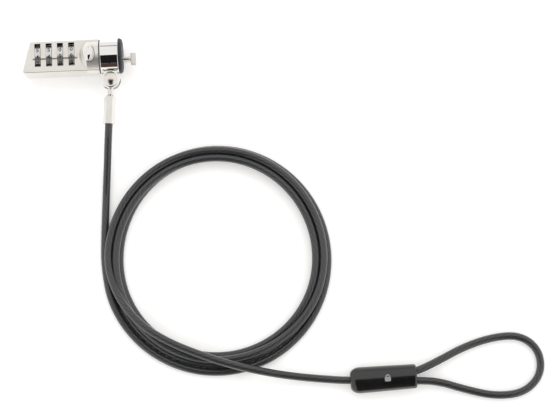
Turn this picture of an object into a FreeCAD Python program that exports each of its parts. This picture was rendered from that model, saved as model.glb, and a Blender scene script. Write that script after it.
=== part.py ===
"""Combination cable lock for laptops, as a parametric document.

Millimetres and degrees. The origin is the middle of the rubber bumper's front face, where the lock meets the
laptop. +X runs out of the lock's nose, +Z out of the face with the number wheels, and the cable leaves
towards -Y. Everything lies on a flat surface one barrel radius below the origin.
"""
import FreeCAD, Part
import math
import os
import re

import Sketcher

DIMENSIONS = {
    # barrel, collar and bumper, all centred on the X axis
    "barrel_radius": 9.5,
    "bumper_radius": 9.2,
    "bumper_length": 1.9,
    "bumper_wall": 1.0,
    "bumper_round": 1.5,
    "bumper_groove": 7.0,
    "bumper_groove_width": 0.6,
    "bumper_groove_depth": 0.35,
    "clip_gap": 3.0,
    "running_gap": 0.05,
    "collar_length": 9.38,
    "collar_end": -2.0,
    "collar_bore": 7.0,
    "core_radius": 6.93,
    "core_bore": 5.4,
    "core_start": -15.05,
    "core_end": -1.0,
    "core_wall": 2.0,
    "core_notch": -12.8,
    "core_notch_low": 2.5,
    "clip_radius": 7.8,
    "clip_groove": 6.3,
    "clip_start": -1.85,
    "clip_width": 0.5,
    "washer_start": -11.98,
    "washer_width": 0.55,
    "washer_radius": 8.8,
    # shoulder: the barrel's polished end, a dome cut off flat
    "shoulder_start": -22.65,
    "shoulder_end": -12.03,
    "shoulder_wall": 3.0,
    "shoulder_radius": 8.9,
    "dome_radius": 10.1,
    "dome_centre": -13.55,
    # dial housing: a bar with a slanted end
    "bar_half": 8.2,
    "bar_corner": -52.05,
    "bar_slant": 4.5,
    "bar_face": 5.2,
    "bar_rear": 7.0,
    "bar_round": 1.1,
    "edge_round": 0.35,
    "cover_depth": 1.0,
    "cover_lip": 0.5,
    "cavity_start": -50.35,
    "cavity_end": -23.75,
    "cavity_low": -7.0,
    "cavity_high": 7.4,
    "cavity_lip_high": 7.7,
    "front_wall": 1.0,
    "index_half": 1.9,
    "index_y": 1.1,
    "index_rise": 0.4,
    "index_start": -47.35,
    "index_end": -22.95,
    "screw_radius": 0.8,
    "screw_head": 1.5,
    "screw_length": 3.2,
    "screw_left": -48.45,
    "screw_left_y": -5.3,
    "screw_right": -24.95,
    "screw_right_y": -5.6,
    "boss_height": 2.8,
    "boss_half": 1.5,
    "boss_root": 0.5,
    "screw_sunk": 0.1,
    "screw_slit": 0.4,
    "screw_slit_depth": 0.35,
    # number wheels
    "dial_first": -43.75,
    "dial_pitch": 5.85,
    "dial_y": 1.0,
    "dial_z": 0.3,
    "dial_radius": 5.9,
    "ridge_radius": 6.1,
    "ridge_width": 0.5,
    "ridge_phase": 6.6,
    "rim_width": 2.8,
    "hub_radius": 3.85,
    "hub_width": 4.3,
    "hub_bore": 3.05,
    "clutch_radius": 3.0,
    "clutch_bore": 1.55,
    "clutch_width": 4.1,
    "clutch_gate": 0.9,
    "window_width": 3.1,
    "window_half": 6.1,
    "spindle_radius": 1.5,
    "spindle_start": -46.3,
    "spindle_end": -19.65,
    "spindle_room": 0.4,
    "spacer_radius": 2.6,
    "spacer_width": 1.1,
    "finger_width": 1.6,
    "finger_reach": 1.9,
    "finger_rise": 0.4,
    "spring_leaf": 0.25,
    "leaf_low": 5.2,
    "leaf_high": 7.0,
    # reset screw on the slanted end
    "reset_y": 4.0,
    "reset_z": -2.4,
    "reset_radius": 2.1,
    "reset_height": 1.5,
    "reset_shank": 1.0,
    "reset_bush_radius": 1.6,
    "reset_bush_inner": -1.4,
    "reset_bush_outer": -0.1,
    "reset_stem_inner": -2.2,
    "reset_stem_outer": 0.3,
    "reset_lift": 0.1,
    "reset_slit": 0.6,
    "reset_slit_floor": 1.1,
    # push button
    "button_tilt": 21.0,
    "button_half_x": 2.7,
    "button_half_y": 4.1,
    "button_gap": 0.15,
    "button_rise": 0.9,
    "button_dome": 1.5,
    "button_skirt": 2.0,
    "button_cup": 2.15,
    "button_hollow": 1.6,
    "button_stem": 1.2,
    "button_reach": 5.3,
    "button_well": 4.0,
    "ledge_half_x": 3.5,
    "ledge_half_y": 5.1,
    "ledge_depth": 0.45,
    "spring_radius": 1.75,
    "spring_wire": 0.4,
    "spring_top": 2.2,
    "seat_depth": 4.5,
    "seat_thick": 0.6,
    "seat_half": 3.2,
    "seat_reach": 8.0,
    # locking bar
    "lock_y": -2.0,
    "shaft_radius": 1.5,
    "shaft_start": -18.65,
    "neck_radius": 0.85,
    "neck_start": -3.2,
    "guide_start": -3.0,
    "guide_length": 6.95,
    "guide_half_y": 1.2,
    "guide_half_z": 2.8,
    "guide_round": 0.5,
    "tee_start": 4.2,
    "tee_length": 2.7,
    "tee_half_y": 3.2,
    "tee_half_z": 1.4,
    "tee_round": 0.35,
    "bush_radius": 2.6,
    "bush_length": 3.5,
    "cam_radius": 2.6,
    "cam_length": 3.0,
    "cam_notch_rise": 3.0,
    # cable pivot
    "pivot_x": -6.55,
    "pivot_y": -12.5,
    "ear_radius": 4.9,
    "ear_inner": 1.95,
    "ear_thick": 2.0,
    "ear_round": 0.8,
    "web_half": 3.2,
    "pin_radius": 1.6,
    "rivet_sphere": 6.0,
    "rivet_rise": 1.2,
    "pivot_washer_radius": 3.4,
    "pivot_washer_low": 1.6,
    "pivot_washer_thick": 0.3,
    "eye_pocket": 4.3,
    # cable end fitting, modelled along -Y from the pivot and then leaned
    "ferrule_lean": -4.5,
    "eye_radius": 3.9,
    "eye_half": 1.5,
    "eye_bore": 1.66,
    "neck_width": 1.4,
    "ferrule_start": 9.2,
    "ferrule_end": 23.6,
    "ferrule_corner": 3.1,
    "ferrule_cone": 1.3,
    "cone_share": 0.85,
    "ferrule_socket": 4.0,
    # cable
    "cable_radius": 2.0,
    "coil_x": 44.35,
    "coil_y": -108.4,
    "coil_radius": 59.9,
    "coil_hole_x": 44.55,
    "coil_hole_y": -106.9,
    "coil_hole": 48.6,
    "coil_height": 8.0,
    "coil_round": 2.4,
    # crimp cover where the cable closes into its end loop
    "crimp_x": 109.95,
    "crimp_y": -174.1,
    "crimp_z": -4.75,
    "crimp_lean": 1.7,
    "sleeve_start": 5.0,
    "sleeve_length": 24.0,
    "sleeve_radius": 2.7,
    "sleeve_offset": 2.1,
}
DIAL_COUNT = 4
DIGIT_COUNT = 10
SPRING_TURNS = 4
BAD_STATES = ("Invalid", "Error")

# The crimp cover's outline: distance from its start, half width, half height.
CRIMP_SECTIONS = [
    (0.0, 3.4, 3.0),
    (1.4, 5.2, 4.0),
    (3.6, 6.3, 4.7),
    (30.6, 5.7, 4.4),
    (33.2, 5.2, 4.0),
    (34.0, 4.4, 3.2),
]

# Control points of the cable's free stretches (x, y, z); z is measured from the barrel's axis.
LEAD_ROUTE = [
    (-8.09, -32.1, 0.0),
    (-8.99, -43.6, 0.0),
    (-10.05, -56.0, -3.9),
    (-11.25, -69.0, -7.0),
    (-12.25, -83.0, -7.5),
    (-13.05, -96.5, -7.5),
    (-13.45, -109.0, -7.5),
]
TAIL_ROUTE = [
    (-6.65, -127.0, -2.4),
    (4.85, -141.6, 0.0),
    (18.15, -150.4, 0.3),
    (31.55, -156.6, 0.3),
    (46.15, -162.2, 0.2),
    (61.45, -166.6, -0.4),
    (77.25, -169.8, -4.3),
    (93.95, -172.1, -6.6),
    (111.35, -174.1, -4.8),
]
LOOP_ROUTE = [
    (142.95, -171.1, -4.9),
    (154.95, -166.1, -5.8),
    (168.95, -159.2, -7.4),
    (183.95, -154.8, -7.5),
    (198.45, -154.3, -7.5),
    (207.75, -162.3, -7.5),
    (208.15, -174.8, -7.5),
    (198.95, -183.9, -7.5),
    (183.95, -185.0, -7.5),
    (168.45, -180.8, -7.4),
    (154.95, -176.2, -5.8),
    (142.95, -175.3, -4.9),
]

doc = FreeCAD.newDocument("cable_lock")
sheet = doc.addObject("Spreadsheet::Sheet", "dims")
nodes = {}


def fill_sheet():
    """Put every driving dimension in the sheet, with its name beside it."""
    for row, (alias, size) in enumerate(DIMENSIONS.items(), start=1):
        sheet.set(f"A{row}", alias)
        sheet.set(f"B{row}", str(size))
        sheet.setAlias(f"B{row}", alias)
    doc.recompute()


def formula(text):
    """An expression of the document: every dimension's name is looked up in the sheet."""
    return re.sub(r"[a-z_]+", lambda m: f"dims.{m.group()}" if m.group() in DIMENSIONS else m.group(), text)


def bind(item, **formulas):
    """Bind properties to formulas; a double underscore stands for the dot of a sub-property."""
    for name, text in formulas.items():
        item.setExpression(name.replace("__", "."), formula(str(text)))
    return item


def size(name):
    """A dimension's present value, for shapes made with Part's own functions."""
    return float(getattr(sheet, name))


def turn_to(axis):
    """The rotation that turns +Z to the named axis."""
    turns = {
        "z": FreeCAD.Rotation(),
        "-z": FreeCAD.Rotation(FreeCAD.Vector(1, 0, 0), 180),
        "x": FreeCAD.Rotation(FreeCAD.Vector(0, 1, 0), 90),
        "-y": FreeCAD.Rotation(FreeCAD.Vector(1, 0, 0), 90),
    }
    return turns[axis]


def place(item, x="0", y="0", z="0", axis="z"):
    """Turn an object's +Z to an axis and bind its place."""
    item.Placement = FreeCAD.Placement(FreeCAD.Vector(), turn_to(axis))
    return bind(item, Placement__Base__x=x, Placement__Base__y=y, Placement__Base__z=z)


def cylinder(name, radius, length, x="0", y="0", z="0", axis="x"):
    """A round bar from a point along an axis."""
    item = bind(doc.addObject("Part::Cylinder", name), Radius=radius, Height=length)
    return place(item, x, y, z, axis)


def block(name, low, high):
    """A box between two corners, each a tuple of three formulas."""
    item = doc.addObject("Part::Box", name)
    sizes = [f"({b}) - ({a})" for a, b in zip(low, high)]
    bind(item, Length=sizes[0], Width=sizes[1], Height=sizes[2])
    return place(item, *low)


def join(name, parts):
    """The union of several objects."""
    item = doc.addObject("Part::MultiFuse", name)
    item.Shapes = parts
    return item


def common(name, parts):
    """What several objects share."""
    item = doc.addObject("Part::MultiCommon", name)
    item.Shapes = parts
    return item


def cut(name, base, tools):
    """The base without the tools."""
    item = doc.addObject("Part::Cut", name)
    item.Base = base
    item.Tool = tools[0] if len(tools) == 1 else join(f"{name}_tools", tools)
    return item


def group(name, parts):
    """Several separate solids in one object."""
    item = doc.addObject("Part::Compound", name)
    item.Links = parts
    return item


def node(name, item):
    """Name a finished sub-part."""
    item.Label = name
    nodes[name] = item
    return item


def ring(name, outer, inner, length, x, y="0", z="0"):
    """A plain ring along X."""
    hole = cylinder(f"{name}_hole", inner, f"{length} + 2", f"{x} - 1", y, z)
    return cut(name, cylinder(f"{name}_outside", outer, length, x, y, z), [hole])


def round_edges(name, base, radius, wanted):
    """Fillet the edges of an object that a test picks out."""
    doc.recompute()
    item = doc.addObject("Part::Fillet", name)
    item.Base = base
    picked = [i for i, edge in enumerate(base.Shape.Edges, start=1) if wanted(edge)]
    item.Edges = [(i, size(radius), size(radius)) for i in picked]
    return item


def plane_of(body, role):
    """One of a body's own origin planes."""
    return next(p for p in body.Origin.OriginFeatures if p.Role == role)


def sketch_on(body, role, name, offset="0"):
    """A sketch on an origin plane of its body, moved along the plane's normal."""
    drawing = body.newObject("Sketcher::SketchObject", name)
    drawing.AttachmentSupport = [(plane_of(body, role), "")]
    drawing.MapMode = "FlatFace"
    return bind(drawing, AttachmentOffset__Base__z=offset)


def number(text):
    """The present value of a formula."""
    return float(sheet.evalExpression(formula(str(text))))


def pin_point(drawing, geometry, end, x, y):
    """Dimension a point of a sketch from the sketch's origin."""
    for kind, text in (("DistanceX", x), ("DistanceY", y)):
        rule = drawing.addConstraint(Sketcher.Constraint(kind, -1, 1, geometry, end, number(text)))
        drawing.setExpression(f"Constraints[{rule}]", formula(str(text)))


def outline(drawing, points):
    """A closed outline of straight lines, each corner dimensioned by a pair of formulas."""
    corners = [FreeCAD.Vector(number(x), number(y)) for x, y in points]
    count = len(points)
    first = drawing.GeometryCount
    for start, end in zip(corners, corners[1:] + corners[:1]):
        drawing.addGeometry(Part.LineSegment(start, end))
    for i in range(count):
        after = first + (i + 1) % count
        drawing.addConstraint(Sketcher.Constraint("Coincident", first + i, 2, after, 1))
        pin_point(drawing, first + i, 1, *points[i])
    return drawing


def rectangle(drawing, left, low, right, high):
    """A rectangle between two corners."""
    return outline(drawing, [(left, low), (right, low), (right, high), (left, high)])


def slot(drawing, left, right, middle, half):
    """A rounded slot along the sketch's X: two half circles and the lines between them."""
    ends = [number(left) + number(half), number(right) - number(half)]
    y, r = number(middle), number(half)
    up = FreeCAD.Vector(0, 0, 1)
    quarter = math.pi / 2
    right_arc = Part.ArcOfCircle(Part.Circle(FreeCAD.Vector(ends[1], y), up, r), -quarter, quarter)
    left_arc = Part.ArcOfCircle(Part.Circle(FreeCAD.Vector(ends[0], y), up, r), quarter, 3 * quarter)
    top = Part.LineSegment(FreeCAD.Vector(ends[1], y + r), FreeCAD.Vector(ends[0], y + r))
    bottom = Part.LineSegment(FreeCAD.Vector(ends[0], y - r), FreeCAD.Vector(ends[1], y - r))
    for curve in (right_arc, top, left_arc, bottom):
        drawing.addGeometry(curve)
    for one, other in ((0, 1), (1, 2), (2, 3), (3, 0)):
        drawing.addConstraint(Sketcher.Constraint("Tangent", one, 2, other, 1))
    pin_point(drawing, 0, 3, f"{right} - {half}", middle)
    pin_point(drawing, 2, 3, f"{left} + {half}", middle)
    rule = drawing.addConstraint(Sketcher.Constraint("Radius", 0, r))
    drawing.setExpression(f"Constraints[{rule}]", formula(half))
    return drawing


def pad(body, drawing, length, reverse=False):
    """A PartDesign pad of a sketch."""
    feature = body.newObject("PartDesign::Pad", f"{drawing.Name}_pad")
    feature.Profile = drawing
    feature.Reversed = reverse
    return bind(feature, Length=length)


def pocket(body, drawing, length, reverse=False):
    """A PartDesign pocket of a sketch, which has to take material away."""
    doc.recompute()
    before = body.Shape.Volume
    feature = body.newObject("PartDesign::Pocket", f"{drawing.Name}_pocket")
    feature.Profile = drawing
    feature.Reversed = reverse
    bind(feature, Length=length)
    doc.recompute()
    if body.Shape.Volume >= before:
        raise ValueError(f"{feature.Name} cuts nothing")
    return feature


def barrel_profile(drawing):
    """Half the barrel's lengthways section on the shoulder side: flat end, dome, then the cylinder."""
    start, end, centre, ball, radius = (
        size(n) for n in ("shoulder_start", "shoulder_end", "dome_centre", "dome_radius", "shoulder_radius")
    )
    low = math.sqrt(ball**2 - (centre - start) ** 2)
    turn = centre - math.sqrt(ball**2 - radius**2)
    circle = Part.Circle(FreeCAD.Vector(centre, 0), FreeCAD.Vector(0, 0, 1), ball)
    dome = Part.ArcOfCircle(circle, math.pi - math.asin(radius / ball), math.pi - math.asin(low / ball))
    points = [(start, low), (start, 0), (end, 0), (end, radius), (turn, radius)]
    corners = [FreeCAD.Vector(x, y) for x, y in points]
    for one, other in zip(corners, corners[1:]):
        drawing.addGeometry(Part.LineSegment(one, other))
    drawing.addGeometry(dome)
    for i in range(5):
        drawing.addConstraint(Sketcher.Constraint("Coincident", i, 2, (i + 1) % 5, 1))
    drawing.addConstraint(Sketcher.Constraint("Horizontal", 3))
    pin_point(drawing, 0, 2, "shoulder_start", "0")
    pin_point(drawing, 1, 2, "shoulder_end", "0")
    pin_point(drawing, 2, 2, "shoulder_end", "shoulder_radius")
    pin_point(drawing, 4, 3, "dome_centre", "0")
    rule = drawing.addConstraint(Sketcher.Constraint("Radius", 4, ball))
    drawing.setExpression(f"Constraints[{rule}]", formula("dome_radius"))
    drawing.addConstraint(Sketcher.Constraint("Vertical", 0))
    return drawing


def revolve(body, drawing, kind):
    """A PartDesign revolution or groove of a sketch about its horizontal axis."""
    feature = body.newObject(f"PartDesign::{kind}", f"{drawing.Name}_{kind.lower()}")
    feature.Profile = drawing
    feature.ReferenceAxis = (drawing, ["H_Axis"])
    feature.Angle = 360
    return feature


def make_housing():
    """The bar that holds the number wheels: slanted end, windows, index bar, open back."""
    body = doc.addObject("PartDesign::Body", "housing_body")
    plan = sketch_on(body, "XY_Plane", "housing_plan", "-bar_rear")
    outline(
        plan,
        [
            ("bar_corner", "-bar_half"),
            ("shoulder_end", "-bar_half"),
            ("shoulder_end", "bar_half"),
            ("bar_corner + bar_slant", "bar_half"),
        ],
    )
    pad(body, plan, "bar_rear + bar_face")
    doc.recompute()
    bar = body.Tip
    ends = [
        f"Edge{i}"
        for i, edge in enumerate(bar.Shape.Edges, start=1)
        if edge.BoundBox.ZLength > size("bar_rear") and edge.CenterOfMass.x < size("cavity_end")
    ]
    rounding = body.newObject("PartDesign::Fillet", "housing_ends")
    rounding.Base = (bar, ends)
    bind(rounding, Radius="bar_round")
    doc.recompute()
    rim = [
        f"Edge{i}"
        for i, edge in enumerate(rounding.Shape.Edges, start=1)
        if edge.BoundBox.ZLength < 0.01 and edge.CenterOfMass.x < size("shoulder_end") - 1
    ]
    easing = body.newObject("PartDesign::Fillet", "housing_rim")
    easing.Base = (rounding, rim)
    bind(easing, Radius="edge_round")
    index = sketch_on(body, "XY_Plane", "index_plan", "bar_face")
    pad(body, slot(index, "index_start", "index_end", "index_y", "index_half"), "index_rise")
    recess = sketch_on(body, "XY_Plane", "recess_plan", "-bar_rear")
    lip = "cover_lip"
    slope = "bar_slant * (cavity_high - cavity_low) / (2 * bar_half)"
    outline(
        recess,
        [
            (f"cavity_start - {lip}", f"cavity_low - {lip}"),
            (f"cavity_end + {lip}", f"cavity_low - {lip}"),
            (f"cavity_end + {lip}", "cavity_lip_high"),
            (f"cavity_start - {lip} + {slope}", "cavity_lip_high"),
        ],
    )
    pocket(body, recess, "cover_depth", reverse=True)
    cavity = sketch_on(body, "XY_Plane", "cavity_plan", "-bar_rear")
    outline(
        cavity,
        [
            ("cavity_start", "cavity_low"),
            ("cavity_end", "cavity_low"),
            ("cavity_end", "cavity_high"),
            (f"cavity_start + {slope}", "cavity_high"),
        ],
    )
    pocket(body, cavity, "bar_rear + bar_face - front_wall", reverse=True)
    for side, x, y in (("left", "screw_left", "screw_left_y"), ("right", "screw_right", "screw_right_y")):
        boss = sketch_on(body, "XY_Plane", f"boss_{side}", "cover_depth - bar_rear")
        reach = "cavity_start - boss_root" if side == "left" else f"{x} - boss_half"
        far = f"{x} + boss_half" if side == "left" else "cavity_end + boss_root"
        rectangle(boss, reach, "cavity_low - boss_root", far, f"{y} + boss_half")
        pad(body, boss, "boss_height")
        hole = sketch_on(body, "XY_Plane", f"thread_{side}", "cover_depth - bar_rear")
        middle = FreeCAD.Vector(number(x), number(y))
        hole.addGeometry(Part.Circle(middle, FreeCAD.Vector(0, 0, 1), size("screw_radius")))
        pin_point(hole, 0, 3, x, y)
        rule = hole.addConstraint(Sketcher.Constraint("Radius", 0, size("screw_radius")))
        hole.setExpression(f"Constraints[{rule}]", formula("screw_radius"))
        pocket(body, hole, "boss_height", reverse=True)
    envelope = sketch_on(body, "XZ_Plane", "barrel_seat")
    revolve(body, barrel_profile(envelope), "Groove")
    window = sketch_on(body, "XY_Plane", "window_plan", "bar_face + index_rise")
    half = "window_width / 2"
    low, high = "dial_y - window_half", "dial_y + window_half"
    rectangle(window, f"dial_first - {half}", low, f"dial_first + {half}", high)
    opening = pocket(body, window, "index_rise + front_wall")
    row = body.newObject("PartDesign::LinearPattern", "window_row")
    row.Originals = [opening]
    row.Direction = (window, ["H_Axis"])
    row.Occurrences = DIAL_COUNT
    bind(row, Length=f"dial_pitch * {DIAL_COUNT - 1}")
    body.Tip = row
    doc.recompute()
    lean = math.atan(size("bar_slant") / (2 * size("bar_half")))
    bore = reset_cylinder("reset_bore", "reset_bush_radius", -4, 2, lean)
    through = ("3", "cavity_end - 1", "dial_y", "dial_z")
    passage = cylinder("wall_passage", "spindle_radius + spindle_room", *through)
    node("dial_housing", cut("housing", body, [bore, passage]))
    return lean


def reset_cylinder(name, radius, start, end, lean):
    """A round bar on the reset screw's axis; start and end count outwards from the slanted face."""
    item = bind(doc.addObject("Part::Cylinder", name), Radius=radius)
    item.Height = end - start
    outward = FreeCAD.Vector(-math.cos(lean), math.sin(lean), 0)
    item.Placement = FreeCAD.Placement(
        reset_place() + outward * start, FreeCAD.Rotation(FreeCAD.Vector(0, 0, 1), outward)
    )
    return item


def reset_place():
    """Where the reset screw's axis meets the slanted face."""
    y = size("reset_y")
    x = size("bar_corner") + size("bar_slant") * (y + size("bar_half")) / (2 * size("bar_half"))
    return FreeCAD.Vector(x, y, size("reset_z"))


def make_cover():
    """The plate that closes the back of the housing, with its two countersunk screws."""
    body = doc.addObject("PartDesign::Body", "cover_body")
    plan = sketch_on(body, "XY_Plane", "cover_plan", "-bar_rear")
    lip = "cover_lip"
    slope = "bar_slant * (cavity_high - cavity_low) / (2 * bar_half)"
    outline(
        plan,
        [
            (f"cavity_start - {lip}", f"cavity_low - {lip}"),
            (f"cavity_end + {lip}", f"cavity_low - {lip}"),
            (f"cavity_end + {lip}", "cavity_lip_high"),
            (f"cavity_start - {lip} + {slope}", "cavity_lip_high"),
        ],
    )
    pad(body, plan, "cover_depth")
    screws, holes = [], []
    for side, x, y in (("left", "screw_left", "screw_left_y"), ("right", "screw_right", "screw_right_y")):
        shank = cylinder(f"shank_{side}", "screw_radius", "screw_length", x, y, "-bar_rear + screw_sunk", "z")
        head = doc.addObject("Part::Cone", f"head_{side}")
        bind(head, Radius1="screw_head", Radius2="screw_radius", Height="cover_depth - 2 * screw_sunk")
        place(head, x, y, "-bar_rear + screw_sunk")
        slit = block(
            f"slit_{side}",
            (f"{x} - 2", f"{y} - screw_slit / 2", "-bar_rear - 1"),
            (f"{x} + 2", f"{y} + screw_slit / 2", "-bar_rear + screw_sunk + screw_slit_depth"),
        )
        screws.append(cut(f"screw_{side}", join(f"screw_{side}_blank", [shank, head]), [slit]))
        hole = doc.addObject("Part::Cone", f"sink_{side}")
        bind(hole, Radius1="screw_head + screw_sunk", Radius2="screw_radius + screw_sunk",
             Height="cover_depth")
        holes.append(place(hole, x, y, "-bar_rear"))
    node("rear_cover", cut("cover", body, holes))
    node("cover_screws", group("screws", screws))


def make_dials():
    """Four number wheels with raised ridges between their digits, and the clutch ring inside each."""
    for i in range(DIAL_COUNT):
        centre = f"(dial_first + dial_pitch * {i})"
        body = doc.addObject("PartDesign::Body", f"wheel_{i + 1}")
        face = sketch_on(body, "YZ_Plane", f"rim_{i + 1}")
        round_face(face, "dial_radius")
        disc = pad(body, face, "rim_width")
        disc.Midplane = True
        side = sketch_on(body, "YZ_Plane", f"hub_{i + 1}")
        round_face(side, "hub_radius")
        hub = pad(body, side, "hub_width")
        hub.Midplane = True
        rib = sketch_on(body, "YZ_Plane", f"rib_{i + 1}")
        rectangle(rib, "-ridge_width / 2", "dial_radius - 0.4", "ridge_width / 2", "ridge_radius")
        ridge = pad(body, rib, "rim_width")
        ridge.Midplane = True
        bore = sketch_on(body, "YZ_Plane", f"bore_{i + 1}")
        round_face(bore, "hub_bore")
        hole = pocket(body, bore, "hub_width + 1")
        hole.Midplane = True
        crown = body.newObject("PartDesign::PolarPattern", f"ridges_{i + 1}")
        crown.Originals = [ridge]
        crown.Axis = (face, ["N_Axis"])
        crown.Angle = 360
        crown.Occurrences = DIGIT_COUNT
        body.Tip = crown
        body.Placement = FreeCAD.Placement(
            FreeCAD.Vector(), FreeCAD.Rotation(FreeCAD.Vector(1, 0, 0), -size("ridge_phase"))
        )
        bind(body, Placement__Base__x=centre, Placement__Base__y="dial_y", Placement__Base__z="dial_z")
        node(f"dial_wheel_{i + 1}", body)
        start = f"{centre} - clutch_width / 2"
        blank = dial_ring(f"clutch_{i + 1}", "clutch_radius", "clutch_width", start)
        gate = block(
            f"gate_{i + 1}",
            (f"{centre} - 5", "dial_y - clutch_gate / 2", "dial_z + clutch_bore - 1"),
            (f"{centre} + 5", "dial_y + clutch_gate / 2", "dial_z + clutch_bore + 0.8"),
        )
        node(f"clutch_ring_{i + 1}", cut(f"gated_{i + 1}", blank, [gate]))


def dial_ring(name, outer, length, start):
    """A plain ring on the wheels' axis that fits over the spindle."""
    return ring(name, outer, "clutch_bore", length, start, "dial_y", "dial_z")


def round_face(drawing, radius):
    """A circle about the sketch's origin."""
    drawing.addGeometry(Part.Circle(FreeCAD.Vector(), FreeCAD.Vector(0, 0, 1), number(radius)))
    drawing.addConstraint(Sketcher.Constraint("Coincident", 0, 3, -1, 1))
    rule = drawing.addConstraint(Sketcher.Constraint("Radius", 0, number(radius)))
    drawing.setExpression(f"Constraints[{rule}]", formula(radius))
    return drawing


def make_spindle():
    """The spindle that the wheels turn on, its bush, the spacers between the hubs and the detent spring."""
    length = "spindle_end - spindle_start"
    rod = cylinder("rod", "spindle_radius", length, "spindle_start", "dial_y", "dial_z")
    tip = doc.addObject("Part::Cone", "rod_tip")
    bind(tip, Radius1="spindle_radius", Radius2="spindle_radius / 2", Height="1")
    place(tip, "spindle_end", "dial_y", "dial_z", "x")
    node("spindle", join("spindle_rod", [rod, tip]))
    bush_start = "cavity_start + bar_slant * (dial_y + spacer_radius - cavity_low) / (2 * bar_half) + 0.05"
    bush_length = f"dial_first - hub_width / 2 - 0.2 - ({bush_start})"
    node("spindle_bush", dial_ring("end_bush", "spacer_radius", bush_length, bush_start))
    spacers = []
    for i in range(DIAL_COUNT - 1):
        start = f"dial_first + dial_pitch * {i + 0.5} - spacer_width / 2"
        spacers.append(dial_ring(f"spacer_{i}", "spacer_radius", "spacer_width", start))
    node("dial_spacers", group("spacers", spacers))
    floor = "cover_depth - bar_rear"
    leaf = [
        block(
            "leaf",
            ("cavity_start + 5", "leaf_low", floor),
            ("cavity_end - 0.2", "leaf_high", f"{floor} + spring_leaf"),
        )
    ]
    for i in range(DIAL_COUNT):
        centre = f"dial_first + dial_pitch * {i}"
        finger = doc.addObject("Part::Wedge", f"finger_{i}")
        bind(finger, Xmin="0", Xmax="finger_width", X2min="0", X2max="finger_width")
        bind(finger, Ymin="0", Ymax="finger_reach", Zmin="0", Zmax="spring_leaf")
        bind(finger, Z2min="finger_rise", Z2max="finger_rise + spring_leaf")
        finger.Placement = FreeCAD.Placement(
            FreeCAD.Vector(), FreeCAD.Rotation(FreeCAD.Vector(0, 0, 1), 180)
        )
        bind(finger, Placement__Base__x=f"{centre} + finger_width / 2")
        bind(finger, Placement__Base__y="leaf_low + 0.2", Placement__Base__z=floor)
        leaf.append(finger)
    node("detent_spring", join("detent", leaf))


def make_reset(lean):
    """The slotted reset screw on the slanted end and the bush it turns in."""
    stem_ends = size("reset_stem_inner"), size("reset_stem_outer")
    shank = reset_cylinder("reset_stem", "reset_shank", *stem_ends, lean)
    bush_ends = size("reset_bush_inner"), size("reset_bush_outer")
    bush_blank = reset_cylinder("reset_bush_blank", "reset_bush_radius", *bush_ends, lean)
    bush_hole = reset_cylinder("reset_bush_hole", "reset_shank + running_gap", -5, 2, lean)
    node("reset_bush", cut("bush_ring", bush_blank, [bush_hole]))
    radius, height = size("reset_radius"), size("reset_height")
    ball = (radius**2 + height**2) / (2 * height)
    dome = doc.addObject("Part::Sphere", "reset_ball")
    dome.Radius = ball
    dome.Angle1 = math.degrees(math.asin((ball - height) / ball))
    outward = FreeCAD.Vector(-math.cos(lean), math.sin(lean), 0)
    turn = FreeCAD.Rotation(FreeCAD.Vector(0, 0, 1), outward)
    dome.Placement = FreeCAD.Placement(reset_place() + outward * (size("reset_lift") + height - ball), turn)
    slit = doc.addObject("Part::Box", "reset_slit")
    bind(slit, Length="reset_slit", Width="3 * reset_radius", Height="reset_height")
    corner = turn.multVec(FreeCAD.Vector(-size("reset_slit") / 2, -1.5 * radius, 0))
    slit.Placement = FreeCAD.Placement(reset_place() + outward * size("reset_slit_floor") + corner, turn)
    node("reset_screw", cut("reset", join("reset_blank", [dome, shank]), [slit]))


def button_frame():
    """The push button's own frame: Z out of the barrel along the button's travel, Y along the row's Y."""
    tilt = math.radians(size("button_tilt"))
    outward = FreeCAD.Vector(-math.sin(tilt), 0, math.cos(tilt))
    centre = FreeCAD.Vector(size("dome_centre"), 0, 0) + outward * size("dome_radius")
    turn = FreeCAD.Rotation(FreeCAD.Vector(0, 1, 0), -size("button_tilt"))
    return FreeCAD.Placement(centre, turn)


def oval(name, half_x, half_y, low, high):
    """An oval bar in the button's frame, between two depths below the shoulder's surface."""
    wide, tall = number(half_x), number(half_y)
    edge = Part.Ellipse(FreeCAD.Vector(), tall, wide).toShape()
    edge.rotate(FreeCAD.Vector(), FreeCAD.Vector(0, 0, 1), 90)
    solid = Part.Face(Part.Wire([edge])).extrude(FreeCAD.Vector(0, 0, high - low))
    item = doc.addObject("Part::Feature", name)
    item.Shape = solid
    item.Placement = button_frame() * FreeCAD.Placement(FreeCAD.Vector(0, 0, low), FreeCAD.Rotation())
    return item


def on_button(item, depth, x=0.0, y=0.0):
    """Set a primitive in the button's frame, at a depth below the shoulder's surface."""
    item.Placement = button_frame() * FreeCAD.Placement(FreeCAD.Vector(x, y, -depth), FreeCAD.Rotation())
    return item


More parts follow.
